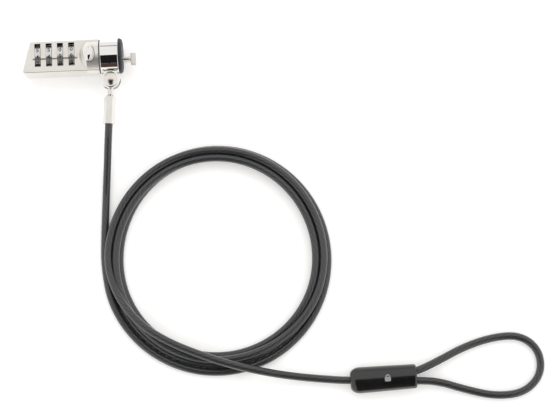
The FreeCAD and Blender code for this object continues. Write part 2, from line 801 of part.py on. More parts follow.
def make_button():
    """Shoulder with the button's well, the domed button, its spring and the seat under the spring."""
    body = doc.addObject("PartDesign::Body", "shoulder_body")
    profile = sketch_on(body, "XZ_Plane", "shoulder_profile")
    revolve(body, barrel_profile(profile), "Revolution")
    inner = cylinder(
        "shoulder_bore", "core_radius", "shoulder_end - shoulder_start", "shoulder_start + shoulder_wall"
    )
    through = ("shoulder_wall + 2", "shoulder_start - 1", "dial_y", "dial_z")
    passage = cylinder("spindle_passage", "spindle_radius + spindle_room", *through)
    gap = "button_gap"
    well = oval("well_cut", f"button_half_x + {gap}", f"button_half_y + {gap}", -size("button_well"), 6.0)
    ledge = oval("ledge_cut", "ledge_half_x", "ledge_half_y", -size("ledge_depth"), 6.0)
    node("shoulder_barrel", cut("shoulder", body, [inner, passage, well, ledge]))
    rise, skirt = size("button_rise"), size("button_skirt")
    cap = oval("button_cap", "button_half_x", "button_half_y", -skirt, rise)
    crown = doc.addObject("Part::Ellipsoid", "button_crown")
    bind(crown, Radius1="button_dome", Radius2="button_half_x", Radius3="button_half_y")
    crown.Angle1, crown.Angle2 = 0, 90
    on_button(crown, -rise)
    stem = bind(doc.addObject("Part::Cylinder", "button_stem"), Radius="button_stem", Height="button_reach")
    on_button(stem, size("button_reach"))
    cup = bind(doc.addObject("Part::Cylinder", "button_cup"), Radius="button_cup", Height="button_hollow")
    on_button(cup, skirt)
    shell = cut("button_shell", join("button_blank", [cap, crown]), [cup])
    node("push_button", join("button", [shell, stem]))
    seat_blank = bind(doc.addObject("Part::Box", "seat_plate"), Length="2 * seat_half",
                      Width="2 * seat_reach", Height="seat_thick")
    seat_bottom = size("seat_depth") + size("seat_thick")
    on_button(seat_blank, seat_bottom, -size("seat_half"), -size("seat_reach"))
    seat_hole = bind(doc.addObject("Part::Cylinder", "seat_hole"),
                     Radius="button_stem + 2 * running_gap", Height="4")
    on_button(seat_hole, size("seat_depth") + 2)
    seat_limit = cylinder(
        "seat_limit",
        "core_radius",
        "core_notch - 0.05 - shoulder_start - shoulder_wall",
        "shoulder_start + shoulder_wall",
    )
    node("spring_seat", cut("seat", common("seat_cut", [seat_blank, seat_limit]), [seat_hole]))
    wire = size("spring_wire")
    rise = size("seat_depth") - size("spring_top") - wire
    middle = size("spring_radius")
    helix = Part.makeHelix(rise / SPRING_TURNS, rise, middle)
    sides = ((-1, -1), (1, -1), (1, 1), (-1, 1), (-1, -1))
    corners = [FreeCAD.Vector(middle + i * wire / 2, 0, j * wire / 2) for i, j in sides]
    coil = Part.Wire(helix.Edges).makePipeShell([Part.makePolygon(corners)], True, True)
    item = doc.addObject("Part::Feature", "coil_spring")
    item.Shape = coil
    on_button(item, size("seat_depth") - wire / 2)
    node("button_spring", item)


def make_core():
    """The tube that the collar turns on, with the parts that hold the collar and the nose."""
    outer = cylinder("core_outer", "core_radius", "core_end - core_start", "core_start")
    inner = cylinder("core_inner", "core_bore", "core_end - core_wall - core_start + 1", "core_start - 1")
    notch = block(
        "core_notch_room",
        ("core_start - 1", "-core_radius - 1", "core_notch_low"),
        ("core_notch", "core_radius + 1", "core_radius + 1"),
    )
    groove = ring("clip_groove", "core_radius + 1", "clip_groove", "clip_width", "clip_start")
    guide_way = guide_block("guide_way", "guide_length", "guide_start")
    node("core_tube", cut("core", outer, [inner, notch, groove, guide_way]))
    clip = ring("clip", "clip_radius", "clip_groove", "clip_width", "clip_start")
    gap = block("clip_gap_room", ("clip_start - 1", "0", "-clip_gap / 2"),
                ("clip_start + 2", "12", "clip_gap / 2"))
    node("retaining_ring", cut("split_ring", clip, [gap]))
    node("thrust_washer", ring("washer", "washer_radius", "core_radius", "washer_width", "washer_start"))
    nose = cylinder("nose", "bumper_radius", "bumper_length", "-bumper_length")
    front = round_edges(
        "nose_round", nose, "bumper_round", lambda e: e.BoundBox.XLength < 0.01 and e.CenterOfMass.x > -0.1
    )
    seat = cylinder("bumper_bore", "core_radius", "bumper_length - bumper_wall + 1", "-bumper_length - 1")
    relief = cylinder("bumper_relief", "clip_radius + running_gap", "clip_width + 3 * running_gap",
                      "-bumper_length")
    step = ring("bumper_step", "bumper_groove", "bumper_groove - bumper_groove_width", "1",
                "-bumper_groove_depth")
    opening = guide_block("bumper_opening", "guide_length", "guide_start")
    node("rubber_bumper", cut("bumper", front, [seat, relief, step, opening]))
    body = guide_block("guide_body", "guide_length", "guide_start")
    tip = "guide_start + guide_length"
    eased = round_edges(
        "guide_eased", body, "guide_round",
        lambda e: e.BoundBox.XLength < 0.01 and e.CenterOfMass.x > number(tip) - 0.01,
    )
    hole = cylinder("guide_hole", "neck_radius + running_gap", "guide_length + 2", "guide_start - 1",
                    "lock_y")
    node("slot_guide", cut("guide", eased, [hole]))
    node("shaft_bush", ring("bush", "bush_radius", "shaft_radius + running_gap", "bush_length",
                            "guide_start - bush_length - 0.01", "lock_y"))


def guide_block(name, length, start):
    """The nose guide's block: a rounded slab, long side along Z."""
    flat = "guide_half_z - guide_half_y"
    slab = block(
        f"{name}_slab",
        (start, "lock_y - guide_half_y", f"-({flat})"),
        (f"{start} + {length}", "lock_y + guide_half_y", flat),
    )
    ends = [
        cylinder(f"{name}_{side}", "guide_half_y", length, start, "lock_y", f"{sign}({flat})")
        for side, sign in (("top", ""), ("foot", "-"))
    ]
    item = join(name, [slab, *ends])
    item.Refine = True
    return item


def make_locking_bar():
    """The turning bar: shaft, thin neck through the guide and the T head across it, with its cam."""
    shaft = cylinder("bar_shaft", "shaft_radius", "neck_start - shaft_start", "shaft_start", "lock_y")
    neck = cylinder("bar_neck", "neck_radius", "tee_start - neck_start + 0.2", "neck_start - 0.1", "lock_y")
    head = block(
        "tee_block",
        ("tee_start", "lock_y - tee_half_y", "-tee_half_z"),
        ("tee_start + tee_length", "lock_y + tee_half_y", "tee_half_z"),
    )
    eased = round_edges("tee_eased", head, "tee_round", lambda e: True)
    node("locking_bar", join("lock_bar", [shaft, neck, eased]))
    blank = ring("cam_blank", "cam_radius", "shaft_radius", "cam_length", "shaft_start", "lock_y")
    notch = block(
        "cam_notch",
        ("shaft_start - 1", "lock_y - 4", "shaft_radius"),
        ("shaft_start + cam_length / 2", "lock_y + 4", "shaft_radius + cam_notch_rise"),
    )
    node("cam_block", cut("cam", blank, [notch]))


def make_collar():
    """The swivel collar with its two ears, and the rivet and washers of the cable pivot."""
    shell = cylinder("collar_shell", "barrel_radius", "collar_length", "collar_end - collar_length")
    eased = round_edges("collar_eased", shell, "edge_round", lambda e: e.BoundBox.XLength < 0.01)
    keep = cylinder("nose_keep", "bumper_radius + 0.4", "4", "collar_end - 0.001")
    ears = []
    for side, low in (("upper", "ear_inner"), ("lower", "-ear_inner - ear_thick")):
        disc = cylinder(f"ear_{side}", "ear_radius", "ear_thick", "pivot_x", "pivot_y", low, "z")
        outer = size("ear_inner") + 1
        lobe = round_edges(
            f"lobe_{side}", disc, "ear_round",
            lambda e: e.BoundBox.ZLength < 0.01 and abs(e.CenterOfMass.z) > outer,
        )
        web = block(
            f"web_{side}",
            ("pivot_x - web_half", "pivot_y", low),
            ("pivot_x + web_half", "-collar_bore", f"{low} + ear_thick"),
        )
        ears.append(join(f"lug_{side}", [lobe, web]))
    lugs = cut("collar_lugs", join("both_lugs", ears), [keep])
    bore = cylinder("collar_hole", "collar_bore", "40", "collar_end - 20")
    pin = cylinder("ear_holes", "pin_radius", "20", "pivot_x", "pivot_y", "-10", "z")
    room = cylinder("eye_room", "eye_pocket", "2 * ear_inner", "pivot_x", "pivot_y", "-ear_inner", "z")
    node("swivel_collar", cut("collar", join("collar_blank", [eased, lugs]), [bore, pin, room]))
    top = "ear_inner + ear_thick"
    pin_solid = cylinder("rivet_pin", "pin_radius", f"2 * ({top})", "pivot_x", "pivot_y", f"-({top})", "z")
    caps = []
    base = "ear_inner + ear_thick + rivet_rise - rivet_sphere"
    for axis, height in (("z", base), ("-z", f"-({base})")):
        cap = bind(doc.addObject("Part::Sphere", f"rivet_cap_{len(caps)}"), Radius="rivet_sphere")
        cap.Angle1 = math.degrees(math.asin(1 - size("rivet_rise") / size("rivet_sphere")))
        caps.append(place(cap, "pivot_x", "pivot_y", height, axis))
    node("pivot_rivet", join("rivet", [pin_solid, *caps]))
    washers = []
    for low in ("pivot_washer_low", "-pivot_washer_low - pivot_washer_thick"):
        side, at = len(washers), ("pivot_x", "pivot_y")
        disc = cylinder(f"disc_{side}", "pivot_washer_radius", "pivot_washer_thick", *at, low, "z")
        hole = cylinder(f"disc_hole_{side}", "pin_radius", "2", *at, f"{low} - 1", "z")
        washers.append(cut(f"pivot_washer_{side}", disc, [hole]))
    node("pivot_washers", group("washers", washers))


def ferrule_frame():
    """The end fitting's own frame: its origin on the pivot and its -Y along the leaned cable."""
    pivot = FreeCAD.Vector(size("pivot_x"), size("pivot_y"), 0)
    return FreeCAD.Placement(pivot, FreeCAD.Rotation(FreeCAD.Vector(0, 0, 1), size("ferrule_lean")))


def make_ferrule():
    """The cable's end fitting: an eye, a neck, and a six-sided tube crimped on the cable."""
    eye = cylinder("eye", "eye_radius", "2 * eye_half", "0", "0", "-eye_half", "z")
    neck = cylinder("fitting_neck", "neck_width", "ferrule_start - 2", "0", "-2", "0", "-y")
    cone = doc.addObject("Part::Cone", "fitting_cone")
    bind(cone, Radius1="neck_width", Radius2="ferrule_corner * cone_share", Height="ferrule_cone")
    place(cone, "0", "-(ferrule_start - ferrule_cone)", "0", "-y")
    tube = doc.addObject("Part::Prism", "fitting_tube")
    tube.Polygon = 6
    bind(tube, Circumradius="ferrule_corner", Height="ferrule_end - ferrule_start")
    place(tube, "0", "-ferrule_start", "0", "-y")
    hole = cylinder("eye_hole", "eye_bore", "10", "0", "0", "-5", "z")
    socket = cylinder("cable_socket", "cable_radius", "ferrule_socket + 1", "0",
                      "-(ferrule_end - ferrule_socket)", "0", "-y")
    blank = join("fitting_blank", [eye, neck, cone, tube])
    fitting = cut("fitting", blank, [hole, socket])
    fitting.Placement = ferrule_frame()
    node("cable_ferrule", fitting)


def cable_tube(label, route):
    """A round tube along straight runs joined by tangent arcs, each as large as its two runs allow."""
    points = [FreeCAD.Vector(*p) for p in route]
    edges, radii = [], []
    here = points[0]
    for before, corner, after in zip(points, points[1:], points[2:]):
        into = (corner - before).normalize()
        out = (after - corner).normalize()
        half = into.getAngle(out) / 2
        reach = 0.45 * min(corner.distanceToPoint(before), corner.distanceToPoint(after))
        radii.append(reach / math.tan(half))
        start, end = corner - into * reach, corner + out * reach
        centre = corner + (out - into).normalize() * (radii[-1] / math.cos(half))
        middle = centre + (corner - centre).normalize() * radii[-1]
        edges += [Part.LineSegment(here, start).toShape(), Part.Arc(start, middle, end).toShape()]
        here = end
    edges.append(Part.LineSegment(here, points[-1]).toShape())
    path = Part.Wire(edges)
    radius = size("cable_radius")
    section = Part.Wire([Part.makeCircle(radius, points[0], points[1] - points[0])])
    item = doc.addObject("Part::Feature", label + "_tube")
    item.Shape = path.makePipeShell([section], True, True)
    expected = math.pi * radius**2 * path.Length
    print(f"{label}: {path.Length:.1f} mm, volume {item.Shape.Volume / expected:.4f} of section x length,")
    print("   radii " + " ".join(f"{r:.0f}" for r in radii))
    return node(label, item)


def make_cable():
    """The cable's lead, coil, tail and end loop, and the crimp that closes the loop."""
    cable_tube("cable_lead", LEAD_ROUTE)
    cable_tube("cable_tail", TAIL_ROUTE)
    cable_tube("cable_loop", LOOP_ROUTE)
    disc = cylinder("coil_disc", "coil_radius", "coil_height", "coil_x", "coil_y", "-barrel_radius", "z")
    hole = cylinder("coil_hole", "coil_hole", "coil_height + 2", "coil_hole_x", "coil_hole_y",
                    "-barrel_radius - 1", "z")
    coil = round_edges("coil_round", cut("coil_ring", disc, [hole]), "coil_round",
                       lambda e: e.BoundBox.ZLength < 0.01)
    node("cable_coil", coil)
    sections = []
    for place_along, half_y, half_z in CRIMP_SECTIONS:
        loop = doc.addObject("Part::Ellipse", f"crimp_section_{len(sections)}")
        loop.MajorRadius, loop.MinorRadius = half_y, half_z
        turn = FreeCAD.Rotation(FreeCAD.Vector(0, 1, 0), FreeCAD.Vector(0, 0, 1), FreeCAD.Vector(1, 0, 0))
        loop.Placement = FreeCAD.Placement(FreeCAD.Vector(place_along, 0, 0), turn)
        sections.append(loop)
    cover = doc.addObject("Part::Loft", "crimp_loft")
    cover.Sections, cover.Solid, cover.Ruled = sections, True, True
    sleeves = [
        join(f"sleeve_{use}", [
            cylinder(f"sleeve_{use}_{side}", "sleeve_radius", "sleeve_length", "sleeve_start",
                     f"{side}sleeve_offset")
            for side in ("", "-")
        ])
        for use in ("solid", "room")
    ]
    frame = FreeCAD.Placement(
        FreeCAD.Vector(size("crimp_x"), size("crimp_y"), size("crimp_z")),
        FreeCAD.Rotation(FreeCAD.Vector(0, 0, 1), size("crimp_lean")),
    )
    shell = cut("crimp_shell", cover, [sleeves[1]])
    for item, label in ((shell, "crimp_cover"), (sleeves[0], "crimp_sleeve")):
        item.Placement = frame
        node(label, item)


def check_and_write():
    """Refuse a failed object or a bad shape, then write one STEP file for each sub-part."""
    doc.recompute()
    failed = [o.Name for o in doc.Objects if any(state in BAD_STATES for state in o.State)]
    if failed:
        raise ValueError(f"failed objects: {failed}")
    bad = [name for name, item in nodes.items() if item.Shape.isNull() or not item.Shape.isValid()]
    if bad:
        raise ValueError(f"bad shapes: {bad}")
    os.makedirs("parts", exist_ok=True)
    for name, item in nodes.items():
        item.Shape.exportStep(f"parts/{name}.step")
        print(f"{name}: {len(item.Shape.Solids)} solid(s), {item.Shape.Volume:.1f} mm3")
    print(f"{len(nodes)} sub-parts")


fill_sheet()
end_lean = make_housing()
make_cover()
make_dials()
make_spindle()
make_reset(end_lean)
make_button()
make_core()
make_locking_bar()
make_collar()
make_ferrule()
make_cable()
check_and_write()
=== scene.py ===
"""Looks of a combination cable lock for laptops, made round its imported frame.

Everything is in metres in the part's own frame: the origin is the middle of the rubber bumper's front face,
+X runs out of the lock's nose, +Z out of the face with the number wheels, and the cable leaves towards -Y.
"""
import logging
import math
from collections.abc import Callable, Sequence
from dataclasses import dataclass
from enum import Enum

import bmesh
import bpy
import numpy as np
from mathutils import Matrix, Vector


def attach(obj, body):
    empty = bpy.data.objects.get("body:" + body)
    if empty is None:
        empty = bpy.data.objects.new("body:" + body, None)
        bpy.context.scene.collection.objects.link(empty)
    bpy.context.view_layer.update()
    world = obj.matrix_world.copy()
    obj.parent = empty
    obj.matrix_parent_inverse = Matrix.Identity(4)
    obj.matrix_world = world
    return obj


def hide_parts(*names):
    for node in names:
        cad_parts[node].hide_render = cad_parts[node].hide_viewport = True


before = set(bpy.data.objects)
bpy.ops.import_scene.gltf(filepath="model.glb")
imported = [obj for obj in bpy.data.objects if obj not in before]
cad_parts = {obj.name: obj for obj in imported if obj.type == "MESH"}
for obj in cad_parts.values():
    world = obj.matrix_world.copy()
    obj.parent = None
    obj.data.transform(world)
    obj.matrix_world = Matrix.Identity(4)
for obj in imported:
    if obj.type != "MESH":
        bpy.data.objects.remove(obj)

LOG = logging.getLogger("cable_lock")
MM = 0.001
CENTIMETRES = 100.0
TURN = 2.0 * math.pi
Grid = np.ndarray
Colour = tuple[float, float, float]


# ---------------------------------------------------------------------------------------------------------
# meshes
# ---------------------------------------------------------------------------------------------------------
class Hand(Enum):
    """Which way a helix climbs, as the Math operation that turns it with the distance along the cable."""

    RIGHT = "SUBTRACT"
    LEFT = "ADD"


def grid_faces(rings: int, around: int) -> np.ndarray:
    """Quads of a tube whose rings close on themselves.

    Args:
        rings: number of rings along the tube.
        around: number of points in each ring.

    Returns:
        An array of (rings - 1) * around quads, numbered ring by ring, with normals outwards when the ring
        turns left-handed about the direction of travel.
    """
    i, j = np.meshgrid(np.arange(rings - 1), np.arange(around), indexing="ij")
    after = (j + 1) % around
    here, onward = i * around, (i + 1) * around
    quads = np.stack([here + j, here + after, onward + after, onward + j], -1)
    return quads.reshape(-1, 4)


def cap_faces(rings: int, around: int, first: int) -> list[tuple[int, int, int]]:
    """Fans that close a tube at both ends on two centre points.

    Args:
        rings: number of rings along the tube.
        around: number of points in each ring.
        first: index of the start's centre point; the end's centre point follows it.

    Returns:
        Triangles whose normals point out of the tube's ends.
    """
    j = np.arange(around)
    after = (j + 1) % around
    last = (rings - 1) * around
    start = np.stack([np.full(around, first), after, j], -1)
    end = np.stack([np.full(around, first + 1), last + j, last + after], -1)
    return [tuple(face) for face in np.concatenate([start, end]).tolist()]


def mesh_piece(
    name: str, points: np.ndarray, faces: Sequence, uv: np.ndarray | None = None
) -> bpy.types.Object:
    """Make a smooth-shaded object from points and faces.

    Without texture coordinates its normals are made consistent and outward; with them the faces must
    already point outward, since turning one would part it from its coordinates.

    Args:
        name: the piece's name.
        points: an array of points, one row each, in the part's frame.
        faces: the faces as sequences of point numbers.
        uv: an optional row of texture coordinates for each corner of the faces, in their order.

    Returns:
        The new object, linked to the scene, with its origin at the frame's origin.
    """
    mesh = bpy.data.meshes.new(name)
    mesh.from_pydata(points.reshape(-1, 3).tolist(), [], [tuple(face) for face in faces])
    if uv is not None:
        layer = mesh.uv_layers.new(name="UVMap")
        layer.data.foreach_set("uv", np.asarray(uv, dtype=np.float32).ravel())
    mesh.validate()
    mesh.polygons.foreach_set("use_smooth", np.ones(len(mesh.polygons), dtype=bool))
    piece = bpy.data.objects.new(name, mesh)
    bpy.context.scene.collection.objects.link(piece)
    if uv is None:
        work = bmesh.new()
        work.from_mesh(mesh)
        bmesh.ops.recalc_face_normals(work, faces=work.faces)
        work.to_mesh(mesh)
        work.free()
    mesh.update()
    return piece


def tube_surface(name: str, rings: Grid) -> bpy.types.Object:
    """A surface through a stack of closed rings, closed at both ends with fans on their middle points.

    Args:
        name: the piece's name.
        rings: an array of shape (rings, points in a ring, 3).

    Returns:
        The new object.
    """
    count, around = rings.shape[:2]
    middles = np.stack([rings[0].mean(axis=0), rings[-1].mean(axis=0)])
    points = np.concatenate([rings.reshape(-1, 3), middles])
    faces = grid_faces(count, around).tolist() + cap_faces(count, around, count * around)
    return mesh_piece(name, points, faces)


def superellipse(half_wide: Grid, half_tall: Grid, power: float, angles: Grid) -> tuple[Grid, Grid]:
    """Points of superellipses: |y / a|^n + |z / b|^n = 1, with n the power.

    Args:
        half_wide: half width a of each ring.
        half_tall: half height b of each ring.
        power: the exponent n; 2 is an ellipse and larger is squarer.
        angles: the parameter round a ring.

    Returns:
        The two coordinates as arrays of shape (rings, angles).
    """
    cosine, sine = np.cos(angles), np.sin(angles)
    wide = np.sign(cosine) * np.abs(cosine) ** (2.0 / power)
    tall = np.sign(sine) * np.abs(sine) ** (2.0 / power)
    return half_wide[:, None] * wide[None, :], half_tall[:, None] * tall[None, :]


# ---------------------------------------------------------------------------------------------------------
# shader groups: effects that several finishes share
# ---------------------------------------------------------------------------------------------------------
class GroupMaker:
    """Builds a shader node group with named sockets."""

    def __init__(self, name: str, inputs: dict[str, float], outputs: Sequence[str]) -> None:
        """Make the group, a vector input called Place, and its value sockets."""
        self.tree = bpy.data.node_groups.new(name, "ShaderNodeTree")
        self.tree.interface.new_socket("Place", in_out="INPUT", socket_type="NodeSocketVector")
        for label, value in inputs.items():
            socket = self.tree.interface.new_socket(label, in_out="INPUT", socket_type="NodeSocketFloat")
            socket.default_value = value
        for label in outputs:
            self.tree.interface.new_socket(label, in_out="OUTPUT", socket_type="NodeSocketFloat")
        self.source = self.tree.nodes.new("NodeGroupInput")
        self.sink = self.tree.nodes.new("NodeGroupOutput")

    def math(self, kind: str, *values: object, clamp: bool = False) -> bpy.types.NodeSocket:
        """A Math node; each value is a number or a socket."""
        return math_node(self.tree, kind, *values, clamp=clamp)

    def given(self, label: str) -> bpy.types.NodeSocket:
        """The socket that brings an input into the group."""
        return self.source.outputs[label]

    def give(self, label: str, socket: bpy.types.NodeSocket) -> None:
        """Send a socket out of the group."""
        self.tree.links.new(socket, self.sink.inputs[label])


def math_node(
    tree: bpy.types.NodeTree, kind: str, *values: object, clamp: bool = False
) -> bpy.types.NodeSocket:
    """Add a Math node.

    Args:
        tree: the node tree.
        kind: the operation's name in Blender's capitals.
        values: numbers or sockets, in the order of the node's inputs.
        clamp: whether the result is kept between 0 and 1.

    Returns:
        The node's output socket.
    """
    node = tree.nodes.new("ShaderNodeMath")
    node.operation = kind
    node.use_clamp = clamp
    for socket, value in zip(node.inputs, values):
        if isinstance(value, (int, float)):
            socket.default_value = value
        else:
            tree.links.new(value, socket)
    return node.outputs[0]


def noise_node(
    tree: bpy.types.NodeTree,
    place: bpy.types.NodeSocket,
    scale: float | bpy.types.NodeSocket,
    detail: float,
) -> bpy.types.NodeSocket:
    """A three-dimensional noise of the given scale per metre and detail, as a value of about 0 to 1."""
    node = tree.nodes.new("ShaderNodeTexNoise")
    node.inputs["Detail"].default_value = detail
    tree.links.new(place, node.inputs["Vector"])
    if isinstance(scale, (int, float)):
        node.inputs["Scale"].default_value = scale
    else:
        tree.links.new(scale, node.inputs["Scale"])
    return node.outputs["Fac"]


def skin_group() -> bpy.types.NodeTree:
    """Fine surface skin: grain from casting or moulding, and the broad smudges that handling leaves.

    Returns:
        A group with the inputs Place, Grain Scale and Smudge Scale, and the outputs Grain and Smudge.
    """
    maker = GroupMaker("surface_skin", {"Grain Scale": 4000.0, "Smudge Scale": 90.0}, ("Grain", "Smudge"))
    place = maker.given("Place")
    fine = noise_node(maker.tree, place, maker.given("Grain Scale"), 3.0)
    broad = noise_node(maker.tree, place, maker.given("Smudge Scale"), 4.0)
    contrast = maker.math("MULTIPLY_ADD", broad, 2.2, -0.6, clamp=True)
    maker.give("Grain", fine)
    maker.give("Smudge", contrast)
    return maker.tree


def scratch_group() -> bpy.types.NodeTree:
    """Hairline marks that run one way, as drawing, brushing or turning leaves.

    The place is squeezed along one axis before the noise is read, so each speck becomes a long line, and
    only the noise's crests are kept.

    Returns:
        A group with the inputs Place, Density and Stretch, and the output Lines.
    """
    maker = GroupMaker("hairlines", {"Density": 3000.0, "Stretch": 0.02}, ("Lines",))
    squeeze = maker.tree.nodes.new("ShaderNodeCombineXYZ")
    maker.tree.links.new(maker.given("Stretch"), squeeze.inputs["X"])
    squeeze.inputs["Y"].default_value = 1.0
    squeeze.inputs["Z"].default_value = 1.0
    product = maker.tree.nodes.new("ShaderNodeVectorMath")
    product.operation = "MULTIPLY"
    maker.tree.links.new(maker.given("Place"), product.inputs[0])
    maker.tree.links.new(squeeze.outputs[0], product.inputs[1])
    lines = noise_node(maker.tree, product.outputs[0], maker.given("Density"), 2.0)
    maker.give("Lines", maker.math("MULTIPLY_ADD", lines, 3.0, -1.0, clamp=True))
    return maker.tree


def twist_group() -> bpy.types.NodeTree:
    """Wires laid in strands, seen through a cable's clear jacket.

    The texture's U is the distance along the cable in centimetres and its V the part of a turn round it. A
    helix is a line of constant (V - U / lay); its sine gives a row of rounded ridges.

    Returns:
        A group with the inputs Place, Strands, Lay, Wires and Wire Lay, and the outputs Strand and Wire.
    """
    inputs = {"Strands": 6.0, "Lay": 2.4, "Wires": 14.0, "Wire Lay": 1.5}
    maker = GroupMaker("twisted_wire", inputs, ("Strand", "Wire"))
    parts = maker.tree.nodes.new("ShaderNodeSeparateXYZ")
    maker.tree.links.new(maker.given("Place"), parts.inputs[0])
    along, around = parts.outputs["X"], parts.outputs["Y"]

    def ridges(count: bpy.types.NodeSocket, lay: bpy.types.NodeSocket, hand: Hand) -> bpy.types.NodeSocket:
        """Rounded ridges, 0 in the valleys and 1 on the crests."""
        turned = maker.math(hand.value, around, maker.math("DIVIDE", along, lay))
        phase = maker.math("MULTIPLY", maker.math("MULTIPLY", turned, count), math.pi)
        return maker.math("ABSOLUTE", maker.math("COSINE", phase))

    maker.give("Strand", ridges(maker.given("Strands"), maker.given("Lay"), Hand.RIGHT))
    maker.give("Wire", ridges(maker.given("Wires"), maker.given("Wire Lay"), Hand.LEFT))
    return maker.tree


class Effects:
    """The shared groups, each built the first time it is asked for."""

    makers: dict[str, Callable[[], bpy.types.NodeTree]] = {
        "skin": skin_group,
        "hairlines": scratch_group,
        "twist": twist_group,
    }
    built: dict[str, bpy.types.NodeTree] = {}

    @classmethod
    def get(cls, name: str) -> bpy.types.NodeTree:
        """The group of that name."""
        if name not in cls.built:
            cls.built[name] = cls.makers[name]()
        return cls.built[name]


# ---------------------------------------------------------------------------------------------------------
# finishes
# ---------------------------------------------------------------------------------------------------------
class Painter:
    """A material under construction: one Principled shader and short ways to add nodes to it."""

    def __init__(self, name: str, **sockets: float | Colour) -> None:
        """Start a material and set the shader's own sockets, with spaces for underscores in their names."""
        self.material = bpy.data.materials.new(name)
        self.material.use_nodes = True
        self.tree = self.material.node_tree
        self.shader = self.tree.nodes["Principled BSDF"]
        for label, value in sockets.items():
            socket = self.shader.inputs[label.replace("_", " ")]
            socket.default_value = (*value, 1.0) if isinstance(value, tuple) else value

    def places(self, kind: str = "Object") -> bpy.types.NodeSocket:
        """The texture coordinates of that kind."""
        return self.tree.nodes.new("ShaderNodeTexCoord").outputs[kind]

    def effect(self, name: str, place: bpy.types.NodeSocket, **values: float) -> bpy.types.Node:
        """Place a shared group and set its inputs."""
        node = self.tree.nodes.new("ShaderNodeGroup")
        node.node_tree = Effects.get(name)
        self.tree.links.new(place, node.inputs["Place"])
        for label, value in values.items():
            node.inputs[label.replace("_", " ")].default_value = value
        return node

    def math(self, kind: str, *values: object, clamp: bool = False) -> bpy.types.NodeSocket:
        """A Math node; each value is a number or a socket."""
        return math_node(self.tree, kind, *values, clamp=clamp)

    def blend(self, share: bpy.types.NodeSocket, low: object, high: object) -> bpy.types.NodeSocket:
        """Mix two colours, each a tuple or a socket, by a share of 0 to 1."""
        node = self.tree.nodes.new("ShaderNodeMix")
        node.data_type = "RGBA"
        self.tree.links.new(share, node.inputs[0])
        for socket, value in ((node.inputs[6], low), (node.inputs[7], high)):
            if isinstance(value, tuple):
                socket.default_value = (*value, 1.0)
            else:
                self.tree.links.new(value, socket)
        return node.outputs[2]

    def feed(self, label: str, socket: bpy.types.NodeSocket) -> None:
        """Drive one of the shader's sockets."""
        self.tree.links.new(socket, self.shader.inputs[label])

    def rough(self, mask: bpy.types.NodeSocket, low: float, high: float) -> None:
        """Drive the roughness between two values by a mask."""
        self.feed("Roughness", self.math("MULTIPLY_ADD", mask, high - low, low))

    def bump(self, height: bpy.types.NodeSocket, distance: float, strength: float = 1.0) -> None:
        """Raise the surface by a height map, with the given full height in metres."""
        node = self.tree.nodes.new("ShaderNodeBump")
        node.inputs["Distance"].default_value = distance
        node.inputs["Strength"].default_value = strength
        self.tree.links.new(height, node.inputs["Height"])
        self.feed("Normal", node.outputs["Normal"])


@dataclass(frozen=True)
class MetalFinish:
    """A plated or bare metal: colour, two roughness limits, grain height and hairlines along X."""

    name: str
    colour: Colour
    shade: Colour
    rough_low: float
    rough_high: float
    grain_height: float = 0.0
    grain_scale: float = 5000.0
    hairlines: float = 0.0
    metallic: float = 1.0

    def paint(self) -> tuple[Painter, bpy.types.NodeSocket]:
        """Make the material and keep the painter, and the colour it was given, for more work on it."""
        painter = Painter(self.name, Metallic=self.metallic)
        place = painter.places()
        skin = painter.effect("skin", place, Grain_Scale=self.grain_scale)
        smudge, grain = skin.outputs["Smudge"], skin.outputs["Grain"]
        colour = painter.blend(smudge, self.colour, self.shade)
        mask = painter.math("MULTIPLY_ADD", grain, 0.4, painter.math("MULTIPLY", smudge, 0.6))
        height = grain
        if self.hairlines:
            lines = painter.effect("hairlines", place).outputs["Lines"]
            mask = painter.math("MULTIPLY_ADD", lines, self.hairlines, mask, clamp=True)
            height = painter.math("MULTIPLY_ADD", lines, -self.hairlines, grain)
        painter.feed("Base Color", colour)
        painter.rough(mask, self.rough_low, self.rough_high)
        if self.grain_height:
            painter.bump(height, self.grain_height)
        return painter, colour

    def build(self) -> bpy.types.Material:
        """Make the material."""
        return self.paint()[0].material


@dataclass(frozen=True)
class MouldedFinish:
    """A moulded rubber or plastic: colour, lighter bloom, roughness limits, grain and clear gloss."""

    name: str
    colour: Colour
    bloom: Colour
    rough_low: float
    rough_high: float
    grain_height: float
    grain_scale: float = 3500.0
    coat: float = 0.0
    coat_rough: float = 0.05

    def build(self) -> bpy.types.Material:
        """Make the material."""
        sockets = {"Coat_Weight": self.coat, "Coat_Roughness": self.coat_rough}
        painter = Painter(self.name, **sockets)
        skin = painter.effect("skin", painter.places(), Grain_Scale=self.grain_scale, Smudge_Scale=140.0)
        painter.feed("Base Color", painter.blend(skin.outputs["Smudge"], self.colour, self.bloom))
        painter.rough(skin.outputs["Smudge"], self.rough_low, self.rough_high)
        painter.bump(skin.outputs["Grain"], self.grain_height)
        return painter.material


